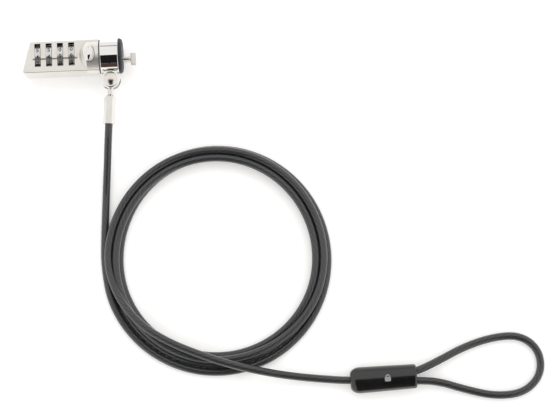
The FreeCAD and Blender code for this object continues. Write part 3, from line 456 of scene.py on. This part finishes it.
@dataclass(frozen=True)
class JacketFinish:
    """Clear smoked vinyl over twisted steel wire, painted along the cable's own texture coordinates."""

    name: str = "smoked_cable_jacket"
    wire: Colour = (0.095, 0.098, 0.104)
    gap: Colour = (0.006, 0.006, 0.007)
    smoke: Colour = (0.016, 0.017, 0.019)

    def build(self) -> bpy.types.Material:
        """Make the material."""
        sockets = {"Coat_Weight": 0.9, "Coat_Roughness": 0.1, "Metallic": 0.25, "Specular_IOR_Level": 0.4}
        painter = Painter(self.name, **sockets)
        twist = painter.effect("twist", painter.places("UV"))
        strand, wire = twist.outputs["Strand"], twist.outputs["Wire"]
        skin = painter.effect("skin", painter.places(), Grain_Scale=2600.0, Smudge_Scale=60.0)
        crest = painter.math("POWER", strand, 0.5)
        fine = painter.math("POWER", wire, 1.6)
        bright = painter.math("MULTIPLY", crest, fine)
        metal = painter.blend(bright, self.gap, self.wire)
        veil = painter.math("MULTIPLY_ADD", skin.outputs["Smudge"], 0.3, 0.25)
        painter.feed("Base Color", painter.blend(veil, metal, self.smoke))
        painter.rough(bright, 0.5, 0.26)
        height = painter.math("MULTIPLY_ADD", wire, 0.8, strand)
        painter.bump(height, 0.04 * MM, 0.6)
        return painter.material


@dataclass(frozen=True)
class HousingFinish:
    """Satin plating outside, a painted shadow line under the index rib, and painted shade in the cavity."""

    outside: MetalFinish
    # near-black colour of the painted shade inside the cavity
    dark: Colour = (0.035, 0.03, 0.026)
    corner: float = -52.05 * MM
    half: float = 8.2 * MM
    slant: float = 4.5 / 16.4
    shell: float = 0.55 * MM
    face: float = 5.2 * MM
    far_end: float = -23.35 * MM
    # colour of the painted shadow line under the index rib
    foot: Colour = (0.30, 0.26, 0.22)
    foot_y: float = -1.2 * MM
    foot_half: float = 0.38 * MM
    foot_middle: float = -34.7 * MM
    foot_reach: float = 11.6 * MM

    def build(self) -> bpy.types.Material:
        """Make the plated material, its painted shadow line, and the painted shade below the shell's
        thickness.
        """
        painter, plated = self.outside.paint()
        parts = painter.tree.nodes.new("ShaderNodeSeparateXYZ")
        painter.tree.links.new(painter.places(), parts.inputs[0])
        x, y, z = parts.outputs
        # painted shade: below the shell's thickness, in the cavity behind the windows, the housing is
        # painted near black and made mostly non-metallic, standing in for the shade there
        side = painter.math("LESS_THAN", painter.math("ABSOLUTE", y), self.half - self.shell)
        deep = painter.math("LESS_THAN", z, self.face - self.shell)
        slanted = painter.math("MULTIPLY_ADD", y, -self.slant, x)
        limit = self.corner + self.half * self.slant + 1.5 * self.shell
        inner = painter.math("GREATER_THAN", slanted, limit)
        near = painter.math("LESS_THAN", x, self.far_end)
        across = painter.math("MULTIPLY", side, deep)
        mask = painter.math("MULTIPLY", across, painter.math("MULTIPLY", inner, near))
        # painted shadow: a brownish band along the index rib's lower edge, between the windows, where the
        # rib shades the face
        low = painter.math("ABSOLUTE", painter.math("SUBTRACT", y, self.foot_y))
        along = painter.math("ABSOLUTE", painter.math("SUBTRACT", x, self.foot_middle))
        foot = painter.math("MULTIPLY", painter.math("LESS_THAN", low, self.foot_half),
                            painter.math("LESS_THAN", along, self.foot_reach))
        outside = painter.blend(foot, plated, self.foot)
        painter.feed("Base Color", painter.blend(mask, outside, self.dark))
        painter.feed("Metallic", painter.math("MULTIPLY_ADD", mask, -0.7, self.outside.metallic))
        return painter.material


@dataclass(frozen=True)
class InkFinish:
    """Matt ink filled into a stamped number or mark."""

    name: str
    colour: Colour
    worn: Colour

    def build(self) -> bpy.types.Material:
        """Make the material."""
        painter = Painter(self.name)
        skin = painter.effect("skin", painter.places(), Grain_Scale=6000.0, Smudge_Scale=1500.0)
        painter.feed("Base Color", painter.blend(skin.outputs["Smudge"], self.colour, self.worn))
        painter.rough(skin.outputs["Grain"], 0.4, 0.7)
        painter.bump(skin.outputs["Grain"], 0.02 * MM)
        return painter.material


SATIN = MetalFinish("satin_nickel", (0.86, 0.84, 0.80), (0.80, 0.78, 0.73), 0.24, 0.36, 0.006 * MM, 6000.0)
CHROME = MetalFinish("polished_chrome", (0.88, 0.87, 0.86), (0.83, 0.82, 0.80), 0.035, 0.09)
STEEL = MetalFinish(
    "turned_steel", (0.78, 0.76, 0.73), (0.70, 0.68, 0.64),
    0.20, 0.34, 0.004 * MM, 7000.0, 0.4,
)
SHOULDER = MetalFinish(
    "satin_shoulder", (0.87, 0.855, 0.82), (0.81, 0.79, 0.75),
    0.36, 0.46, 0.004 * MM, 6000.0,
)
WHEEL = MetalFinish(
    "silvered_wheel", (0.84, 0.84, 0.84), (0.76, 0.76, 0.75),
    0.27, 0.36, 0.003 * MM, 6500.0,
)
BRASS = MetalFinish("machined_brass", (0.78, 0.60, 0.32), (0.62, 0.46, 0.24), 0.24, 0.42, 0.004 * MM)
SPRING = MetalFinish("spring_wire", (0.46, 0.46, 0.47), (0.36, 0.36, 0.37), 0.28, 0.42, 0.003 * MM)
RIVET = MetalFinish("rivet_nickel", (0.86, 0.83, 0.78), (0.78, 0.74, 0.68), 0.16, 0.32, 0.006 * MM, 4200.0)
FERRULE = MetalFinish(
    "pressed_ferrule", (0.80, 0.78, 0.75), (0.70, 0.68, 0.64),
    0.13, 0.24, 0.01 * MM, 1800.0,
)
ALUMINIUM = MetalFinish("pressed_aluminium", (0.80, 0.80, 0.81), (0.70, 0.70, 0.71), 0.3, 0.5, 0.01 * MM)
RUBBER = MouldedFinish("nose_rubber", (0.010, 0.013, 0.020), (0.017, 0.020, 0.029), 0.38, 0.55, 0.012 * MM)
WASHER = MouldedFinish("dark_washer", (0.03, 0.03, 0.03), (0.05, 0.045, 0.04), 0.4, 0.6, 0.01 * MM)
CRIMP = MouldedFinish(
    "gloss_black", (0.006, 0.006, 0.006), (0.009, 0.009, 0.010),
    0.13, 0.2, 0.004 * MM, 2200.0, 0.6,
)
INK = InkFinish("number_ink", (0.012, 0.012, 0.013), (0.05, 0.05, 0.05))
MARK = InkFinish("mark_ink", (0.30, 0.30, 0.31), (0.24, 0.24, 0.25))


def dress(material: bpy.types.Material, *nodes: str) -> None:
    """Put a material in every slot of some CAD nodes."""
    for name in nodes:
        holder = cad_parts[name]
        if not holder.material_slots:
            holder.data.materials.append(material)
        for slot in holder.material_slots:
            slot.material = material
        LOG.info("dressed %s with %s", name, material.name)


def settle(piece: bpy.types.Object, material: bpy.types.Material, body: str) -> bpy.types.Object:
    """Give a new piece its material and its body.

    Args:
        piece: the finished piece.
        material: its material.
        body: the CAD body that it moves with.

    Returns:
        The same piece.
    """
    piece.data.materials.clear()
    piece.data.materials.append(material)
    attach(piece, body)
    LOG.info("made %s on %s", piece.name, body)
    return piece


# ---------------------------------------------------------------------------------------------------------
# camera, floor and light
# ---------------------------------------------------------------------------------------------------------
@dataclass
class Studio:
    """A pale floor, broad soft lights and one long lens that looks down on the lock."""

    eye: Colour = (0.07048, -0.23817, 0.97819)
    lens: float = 124.3
    sensor: float = 36.0
    roll: float = math.radians(2.6)
    tilt: float = math.radians(9.0)
    floor_height: float = -9.5 * MM
    floor_reach: float = 6.0
    floor_colour: Colour = (0.93, 0.93, 0.93)
    floor_glow: float = 0.22

    def build(self) -> None:
        """Make everything that isn't part of the lock."""
        self.camera()
        self.floor()
        self.world()
        self.lights()
        bpy.context.scene.view_settings.view_transform = "Standard"

    def camera(self) -> None:
        """Point the camera down, tilted and rolled a little."""
        right = Vector((math.cos(self.roll), -math.sin(self.roll), 0.0))
        flat = Vector((math.sin(self.roll), math.cos(self.roll), 0.0))
        back = Vector((0.0, 0.0, 1.0)) * math.cos(self.tilt) - flat * math.sin(self.tilt)
        up = flat * math.cos(self.tilt) + Vector((0.0, 0.0, 1.0)) * math.sin(self.tilt)
        data = bpy.data.cameras.new("camera")
        data.lens, data.sensor_width = self.lens, self.sensor
        data.clip_start, data.clip_end = 0.01, 20.0
        holder = bpy.data.objects.new("camera", data)
        holder.matrix_world = Matrix.Translation(self.eye) @ Matrix((right, up, back)).transposed().to_4x4()
        bpy.context.scene.collection.objects.link(holder)
        bpy.context.scene.camera = holder

    def plane(self, name: str, centre: Colour, across: Colour, along: Colour) -> bpy.types.Object:
        """A flat rectangle that isn't part of the lock, spanned by two half sides."""
        corners = [
            [c + s * a + t * b for c, a, b in zip(centre, across, along)]
            for s, t in ((-1, -1), (1, -1), (1, 1), (-1, 1))
        ]
        piece = mesh_piece(name, np.array(corners), [(0, 1, 2, 3)])
        return piece

    def floor(self) -> None:
        """The pale floor that the lock lies on, lit a little from within so that shadows stay faint."""
        centre = (0.0, 0.0, self.floor_height)
        floor = self.plane("floor", centre, (self.floor_reach, 0.0, 0.0), (0.0, self.floor_reach, 0.0))
        painter = Painter(
            "floor_paper",
            Base_Color=self.floor_colour,
            Roughness=0.9,
            Specular_IOR_Level=0.1,
            Emission_Color=self.floor_colour,
            Emission_Strength=self.floor_glow,
        )
        skin = painter.effect("skin", painter.places(), Grain_Scale=900.0, Smudge_Scale=3.0)
        painter.rough(skin.outputs["Grain"], 0.85, 0.95)
        floor.data.materials.append(painter.material)

    def world(self) -> None:
        """An even pale surround."""
        world = bpy.data.worlds.new("surround")
        world.use_nodes = True
        sky = world.node_tree.nodes["Background"]
        sky.inputs["Color"].default_value = (1.0, 0.988, 0.968, 1.0)
        sky.inputs["Strength"].default_value = 0.97
        bpy.context.scene.world = world

    def lamp(self, name: str, place: Colour, aim: Colour, size: tuple[float, float], power: float) -> None:
        """A soft rectangular light that looks at a point and that polish doesn't mirror."""
        data = bpy.data.lights.new(name, "AREA")
        data.shape = "RECTANGLE"
        data.size, data.size_y = size
        data.energy = power
        holder = bpy.data.objects.new(name, data)
        holder.visible_glossy = False
        way = Vector(aim) - Vector(place)
        holder.matrix_world = Matrix.Translation(place) @ way.to_track_quat("-Z", "Y").to_matrix().to_4x4()
        bpy.context.scene.collection.objects.link(holder)

    def card(self, name: str, centre: Colour, across: Colour, along: Colour, glow: Colour) -> None:
        """A card of one brightness that only polished surfaces see."""
        card = self.plane(name, centre, across, along)
        painter = Painter(f"{name}_felt", Base_Color=(0.0, 0.0, 0.0), Roughness=1.0, Specular_IOR_Level=0.0,
                          Emission_Color=glow, Emission_Strength=1.0)
        card.data.materials.append(painter.material)
        for sight in ("camera", "diffuse", "shadow", "transmission", "volume_scatter"):
            setattr(card, f"visible_{sight}", False)

    def lights(self) -> None:
        """Weak broad lights, and the dark, brown and grey cards that polish reflects."""
        self.lamp("key", (0.0, 0.95, 1.35), (0.0, 0.0, 0.0), (1.8, 1.1), 5.0)
        self.lamp("front", (0.1, -1.5, 1.5), (0.05, -0.08, 0.0), (1.6, 0.7), 2.5)
        self.lamp("side", (1.5, -0.2, 0.8), (0.05, -0.08, 0.0), (0.9, 0.9), 1.5)
        across = (0.6, 0.0, 0.0)
        self.card("dark_card", (-0.02, -0.93, 1.2), across, (0.0, 0.85, 0.0), (0.012, 0.012, 0.013))
        self.card("brown_card", (-0.02, -1.8, 0.695), across, (0.0, 0.0, 0.505), (0.073, 0.051, 0.040))
        self.card("grey_card", (-0.02, 1.26, 0.82), across, (0.0, 0.04, -0.06), (0.22, 0.22, 0.21))


# ---------------------------------------------------------------------------------------------------------
# the security cable
# ---------------------------------------------------------------------------------------------------------
@dataclass
class SecurityCable:
    """A 4 mm steel cable in a smoked jacket: straight lead, a little over four turns, tail and end loop."""

    radius: float = 2.0 * MM
    strands: int = 6
    lay: float = 24.0 * MM
    relief: float = 0.035 * MM
    around: int = 30
    ring_step: float = 0.95 * MM
    coil_centre: tuple[float, float] = (44.35 * MM, -108.4 * MM)
    coil_steps: int = 18
    lead: Sequence[Colour] = (
        (-8.09, -32.1, 0.0),
        (-8.99, -43.6, 0.0),
        (-10.05, -56.0, -3.9),
        (-11.25, -69.0, -7.0),
        (-12.25, -83.0, -7.5),
        (-13.05, -96.5, -7.5),
        (-13.45, -109.0, -7.5),
    )
    tail: Sequence[Colour] = (
        (-6.65, -127.0, -2.4),
        (4.85, -141.6, 0.0),
        (18.15, -150.4, 0.3),
        (31.55, -156.6, 0.3),
        (46.15, -162.2, 0.2),
        (61.45, -166.6, -0.4),
        (77.25, -169.8, -4.3),
        (93.95, -172.1, -6.6),
        (111.35, -174.1, -4.8),
    )
    through: Sequence[Colour] = ((120.95, -172.8, -4.85), (131.95, -171.7, -4.9))
    loop: Sequence[Colour] = (
        (142.95, -171.1, -4.9),
        (154.95, -166.1, -5.8),
        (168.95, -159.2, -7.4),
        (183.95, -154.8, -7.5),
        (198.45, -154.3, -7.5),
        (207.75, -162.3, -7.5),
        (208.15, -174.8, -7.5),
        (198.95, -183.9, -7.5),
        (183.95, -185.0, -7.5),
        (168.45, -180.8, -7.4),
        (154.95, -176.2, -5.8),
        (142.95, -175.3, -4.9),
    )
    home: Sequence[Colour] = ((131.95, -175.8, -4.9), (119.45, -176.2, -4.85))
    # each knot of the coil: degrees from the lead, radius and height above the floor, in millimetres
    turns: Sequence[Colour] = (
        (180, 57.8, 2.0),
        (270, 57.9, 2.0),
        (360, 57.4, 2.0),
        (450, 58.1, 2.0),
        (540, 53.8, 2.0),
        (630, 53.9, 2.0),
        (720, 53.3, 2.0),
        (810, 54.0, 2.0),
        (900, 49.9, 2.0),
        (990, 49.6, 2.0),
        (1080, 51.2, 5.4),
        (1170, 53.0, 5.9),
        (1260, 51.8, 5.4),
        (1350, 51.9, 5.4),
        (1440, 55.35, 5.4),
        (1530, 57.0, 5.9),
        (1620, 55.8, 5.4),
    )

    def coil_points(self) -> np.ndarray:
        """Control points of the coil: x = cx + r cos a, y = cy + r sin a, with r and z eased between knots.

        The spline cuts inside its control points by the cosine of half a step, so the radius is divided by
        that.
        """
        table = np.array(self.turns, dtype=float)
        step = 360.0 / self.coil_steps
        angles = np.arange(table[0, 0] + step, table[-1, 0] + 0.5 * step, step)
        share = np.searchsorted(table[:, 0], angles, side="left").clip(1, len(table) - 1)
        low, high = table[share - 1], table[share]
        part = (angles - low[:, 0]) / (high[:, 0] - low[:, 0])
        eased = 0.5 - 0.5 * np.cos(math.pi * part)
        radii = (low[:, 1] + (high[:, 1] - low[:, 1]) * eased) / math.cos(math.radians(step / 2))
        heights = low[:, 2] + (high[:, 2] - low[:, 2]) * eased
        turned = np.radians(angles)
        x = self.coil_centre[0] + radii * MM * np.cos(turned)
        y = self.coil_centre[1] + radii * MM * np.sin(turned)
        return np.stack([x, y, heights * MM + Studio.floor_height], -1)

    def route(self) -> np.ndarray:
        """Every control point of the cable from its fitting to its end inside the crimp."""
        after = [np.array(points) * MM for points in (self.tail, self.through, self.loop, self.home)]
        return np.concatenate([np.array(self.lead) * MM, self.coil_points(), *after])

    def centreline(self) -> np.ndarray:
        """Points of the smooth spline through the route, read from a curve with no thickness."""
        control = self.route()
        data = bpy.data.curves.new("cable_route", "CURVE")
        data.dimensions = "3D"
        data.resolution_u = 16
        spline = data.splines.new("NURBS")
        spline.points.add(len(control) - 1)
        spline.points.foreach_set("co", np.concatenate([control, np.ones((len(control), 1))], 1).ravel())
        spline.order_u = 3
        spline.use_endpoint_u = True
        holder = bpy.data.objects.new("cable_route", data)
        bpy.context.scene.collection.objects.link(holder)
        mesh = bpy.data.meshes.new_from_object(holder)
        points = np.empty(len(mesh.vertices) * 3)
        mesh.vertices.foreach_get("co", points)
        bpy.data.objects.remove(holder)
        bpy.data.meshes.remove(mesh)
        bpy.data.curves.remove(data)
        return self.even(points.reshape(-1, 3))

    def even(self, points: np.ndarray) -> np.ndarray:
        """The same line with its points a ring step apart."""
        lengths = np.linalg.norm(np.diff(points, axis=0), axis=1)
        keep = np.concatenate([[True], lengths > 1e-9])
        points = points[keep]
        run = np.concatenate([[0.0], np.cumsum(lengths[lengths > 1e-9])])
        places = np.linspace(0.0, run[-1], int(run[-1] / self.ring_step) + 1)
        return np.stack([np.interp(places, run, points[:, axis]) for axis in range(3)], -1)

    def build(self, others: Sequence[bpy.types.Object]) -> bpy.types.Object:
        """Sweep the jacket along the line.

        Round each point the ring lies in the plane of side = travel x up and over = side x travel. Its
        radius falls by the relief between the strands: r = R - relief * (1 - |cos(strands / 2 * (a - t))|),
        where a is the angle round the ring and t the strands' twist there.

        Args:
            others: the pieces that are on the cable; not used.

        Returns:
            The cable's piece.
        """
        line = self.centreline()
        travel = np.gradient(line, axis=0)
        travel /= np.linalg.norm(travel, axis=1)[:, None]
        side = np.cross(travel, np.array([0.0, 0.0, 1.0]))
        side /= np.linalg.norm(side, axis=1)[:, None]
        over = np.cross(side, travel)
        run = np.concatenate([[0.0], np.cumsum(np.linalg.norm(np.diff(line, axis=0), axis=1))])
        angles = np.linspace(0.0, TURN, self.around, endpoint=False)
        twist = angles[None, :] - TURN * run[:, None] / self.lay
        valley = 1.0 - np.abs(np.cos(0.5 * self.strands * twist))
        radii = (self.radius - self.relief * valley)[..., None]
        sideways = np.cos(angles)[None, :, None] * side[:, None, :]
        upward = np.sin(angles)[None, :, None] * over[:, None, :]
        rings = line[:, None, :] + radii * (sideways + upward)
        count, around = rings.shape[:2]
        faces = grid_faces(count, around)
        shares = np.stack([faces % around, faces // around], -1).astype(float)
        wraps = (shares[:, :, 0].max(1) - shares[:, :, 0].min(1)) > 1.5
        shares[:, :, 0] = np.where(wraps[:, None] & (shares[:, :, 0] == 0), around, shares[:, :, 0])
        along = run[shares[:, :, 1].astype(int)] * CENTIMETRES
        quads = np.stack([along, shares[:, :, 0] / around], -1).reshape(-1, 2)
        caps = cap_faces(count, around, count * around)
        points = np.concatenate([rings.reshape(-1, 3), line[:1], line[-1:]])
        uv = np.concatenate([quads, np.zeros((3 * len(caps), 2))])
        piece = mesh_piece("security_cable", points, [*faces.tolist(), *caps], uv)
        settle(piece, JacketFinish().build(), "cable")
        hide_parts("cable_lead", "cable_coil", "cable_tail", "cable_loop")
        LOG.info("cable is %.3f m long", run[-1])
        return piece


@dataclass
class CrimpCover:
    """The glossy moulded cover that closes the cable's end loop, with a small padlock printed on it."""

    start: Colour = (109.95, -174.1, -4.75)
    lean: float = math.radians(1.7)
    length: float = 34.0
    wide: tuple[float, float] = (6.85, 6.25)
    tall: tuple[float, float] = (4.7, 4.4)
    power: float = 2.25
    nose: float = 5.2
    heel: float = 1.3
    nose_share: float = 0.46
    rings: int = 110
    around: int = 96
    mark_at: float = 0.56
    mark_body: tuple[float, float] = (1.55, 1.15)
    mark_bow: float = 0.95
    mark_bar: float = 0.26
    mark_stretch: float = 1.15
    mark_drop: float = 0.75
    mark_lift: float = 0.3
    mark_proud: float = 0.03

    def halves(self, along: Grid) -> tuple[Grid, Grid]:
        """Half width and half height of the cover at distances along it, in millimetres.

        Each end shrinks as a quarter ellipse: s = e + (1 - e) * sqrt(1 - (1 - d / reach)^2), where d is the
        distance from the end and e the part left at the very end.
        """
        def ease(distance: Grid, reach: float, left: float) -> Grid:
            """The quarter ellipse's share at a distance from an end."""
            inward = 1.0 - np.clip(distance / reach, 0.0, 1.0)
            return left + (1.0 - left) * np.sqrt(1.0 - inward**2)

        share = ease(along, self.nose, self.nose_share) * ease(self.length - along, self.heel, 0.84)
        part = along / self.length
        return (
            share * (self.wide[0] + (self.wide[1] - self.wide[0]) * part),
            share * (self.tall[0] + (self.tall[1] - self.tall[0]) * part),
        )

    def placed(self, points: np.ndarray) -> np.ndarray:
        """Turn points of the cover's own frame, in millimetres, into the part's frame."""
        turn = np.array(Matrix.Rotation(self.lean, 3, "Z"))
        return (points @ turn.T + np.array(self.start)) * MM

    def build(self) -> list[bpy.types.Object]:
        """Make the cover and its mark."""
        share = 0.5 - 0.5 * np.cos(np.linspace(0.0, math.pi, self.rings))
        along = share * self.length
        wide, tall = self.halves(along)
        y, z = superellipse(wide, tall, self.power, np.linspace(0.0, TURN, self.around, endpoint=False))
        x = np.repeat(along[:, None], self.around, axis=1)
        cover = tube_surface("crimp_moulding", self.placed(np.stack([x, y, z], -1)))
        settle(cover, CRIMP.build(), "cable")
        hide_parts("crimp_cover")
        return [cover, self.mark()]

    def mark(self) -> bpy.types.Object:
        """A printed padlock: a rounded body and a half-ring shackle, laid on the cover's crown."""
        around, shells, steps, lanes = 40, 12, 28, 4
        angles = np.linspace(0.0, TURN, around, endpoint=False)
        share = np.linspace(0.0, 1.0, shells)
        px, py = superellipse(share * self.mark_body[0], share * self.mark_body[1], 5.0, angles)
        body = np.stack([px, py - self.mark_drop], -1)
        arch = np.linspace(0.0, math.pi, steps)
        lane = self.mark_bow - self.mark_bar + 2 * self.mark_bar * np.linspace(0, 1, lanes)
        band = np.stack([lane] * steps, 0)
        rise = band * self.mark_stretch * np.sin(arch)[:, None] + self.mark_lift
        hoop = np.stack([band * np.cos(arch)[:, None], rise], -1)
        flat = np.concatenate([body.reshape(-1, 2), hoop.reshape(-1, 2)])
        faces = grid_faces(shells, around).tolist()
        i, j = np.meshgrid(np.arange(steps - 1), np.arange(lanes - 1), indexing="ij")
        here, onward = i * lanes + j, (i + 1) * lanes + j
        strip = np.stack([here, here + 1, onward + 1, onward], -1).reshape(-1, 4)
        faces += (strip + shells * around).tolist()
        x = self.length * self.mark_at + flat[:, 0]
        wide, tall = self.halves(x)
        drop = 1.0 - np.abs(flat[:, 1] / wide) ** self.power
        z = tall * drop ** (1.0 / self.power) + self.mark_proud
        piece = mesh_piece("crimp_mark", self.placed(np.stack([x, flat[:, 1], z], -1)), faces)
        return settle(piece, MARK.build(), "cable")


# ---------------------------------------------------------------------------------------------------------
# the lock's head
# ---------------------------------------------------------------------------------------------------------
@dataclass
class NumberWheels:
    """Four silvered wheels with ten numbers each, filled with dark ink."""

    first: float = -43.75 * MM
    pitch: float = 5.85 * MM
    axis_y: float = 1.0 * MM
    axis_z: float = 0.3 * MM
    radius: float = 5.9 * MM
    proud: float = 0.015 * MM
    tall: float = 2.35 * MM
    index_angle: float = math.radians(-11.4)
    showing: tuple[int, ...] = (4, 4, 9, 9)
    cut_step: float = 0.2 * MM

    def outline(self, text: str) -> bpy.types.Mesh:
        """A number as a flat mesh, centred, scaled to its height and cut into narrow bands across."""
        data = bpy.data.curves.new("number", "FONT")
        data.body = text
        data.size = 1.0
        data.offset = 0.018
        holder = bpy.data.objects.new("number", data)
        bpy.context.scene.collection.objects.link(holder)
        mesh = bpy.data.meshes.new_from_object(holder)
        bpy.data.objects.remove(holder)
        points = np.empty(len(mesh.vertices) * 3)
        mesh.vertices.foreach_get("co", points)
        points = points.reshape(-1, 3)
        low, high = points.min(0), points.max(0)
        points = (points - (low + high) / 2) * (self.tall / (high[1] - low[1]))
        mesh.vertices.foreach_set("co", points.ravel())
        work = bmesh.new()
        work.from_mesh(mesh)
        for level in np.arange(-self.tall / 2, self.tall / 2, self.cut_step):
            everything = [*work.verts, *work.edges, *work.faces]
            bmesh.ops.bisect_plane(work, geom=everything, plane_co=(0, level, 0), plane_no=(0, 1, 0))
        work.to_mesh(mesh)
        work.free()
        return mesh

    def build(self) -> None:
        """Wrap the numbers round each wheel and dress the wheels.

        A flat point (u, v) goes to x = wheel + u, and to the angle a = slot + v / R from +Z towards +Y on
        the cylinder of radius R: y = R sin a, z = R cos a.
        """
        dress(WHEEL.build(), *(f"dial_wheel_{n + 1}" for n in range(len(self.showing))))
        ink = INK.build()
        flats = [self.outline(str(number)) for number in range(10)]
        for wheel, shown in enumerate(self.showing):
            points, faces, count = [], [], 0
            for number, mesh in enumerate(flats):
                flat = np.empty(len(mesh.vertices) * 3)
                mesh.vertices.foreach_get("co", flat)
                flat = flat.reshape(-1, 3)
                angle = self.index_angle + (number - shown) * TURN / 10 + flat[:, 1] / self.radius
                reach = self.radius + self.proud
                x = self.first + wheel * self.pitch + flat[:, 0]
                y = self.axis_y + reach * np.sin(angle)
                z = self.axis_z + reach * np.cos(angle)
                points.append(np.stack([x, y, z], -1))
                faces += [[count + v for v in face.vertices] for face in mesh.polygons]
                count += len(flat)
            piece = mesh_piece(f"wheel_numbers_{wheel + 1}", np.concatenate(points), faces)
            settle(piece, ink, f"dial_{wheel + 1}")


@dataclass
class LockHead:
    """The housing, its fasteners, and everything inside that keeps its CAD shape."""

    def build(self) -> None:
        """Dress each part in its own finish."""
        dress(HousingFinish(SATIN).build(), "dial_housing")
        dress(SATIN.build(), "rear_cover")
        dress(SHOULDER.build(), "shoulder_barrel")
        dress(CHROME.build(), "push_button", "swivel_collar")
        turned = ("cover_screws", "reset_screw", "locking_bar", "slot_guide", "core_tube", "spring_seat")
        dress(STEEL.build(), *turned)
        dress(STEEL.build(), "spindle")
        clutches = [f"clutch_ring_{n}" for n in range(1, 5)]
        bushes = ("spindle_bush", "dial_spacers", "reset_bush", "shaft_bush", "cam_block")
        dress(BRASS.build(), *bushes, *clutches)
        dress(BRASS.build(), "pivot_washers")
        dress(SPRING.build(), "button_spring", "retaining_ring", "detent_spring")
        dress(WASHER.build(), "thrust_washer")
        dress(RUBBER.build(), "rubber_bumper")
        dress(RIVET.build(), "pivot_rivet")
        dress(FERRULE.build(), "cable_ferrule")
        dress(ALUMINIUM.build(), "crimp_sleeve")


def main() -> None:
    """Build the studio, the cable and the head in order."""
    logging.basicConfig(level=logging.INFO, format="%(message)s")
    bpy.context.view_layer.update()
    Studio().build()
    cover = CrimpCover().build()
    SecurityCable().build(cover)
    NumberWheels().build()
    LockHead().build()


if __name__ == "__main__":
    main()
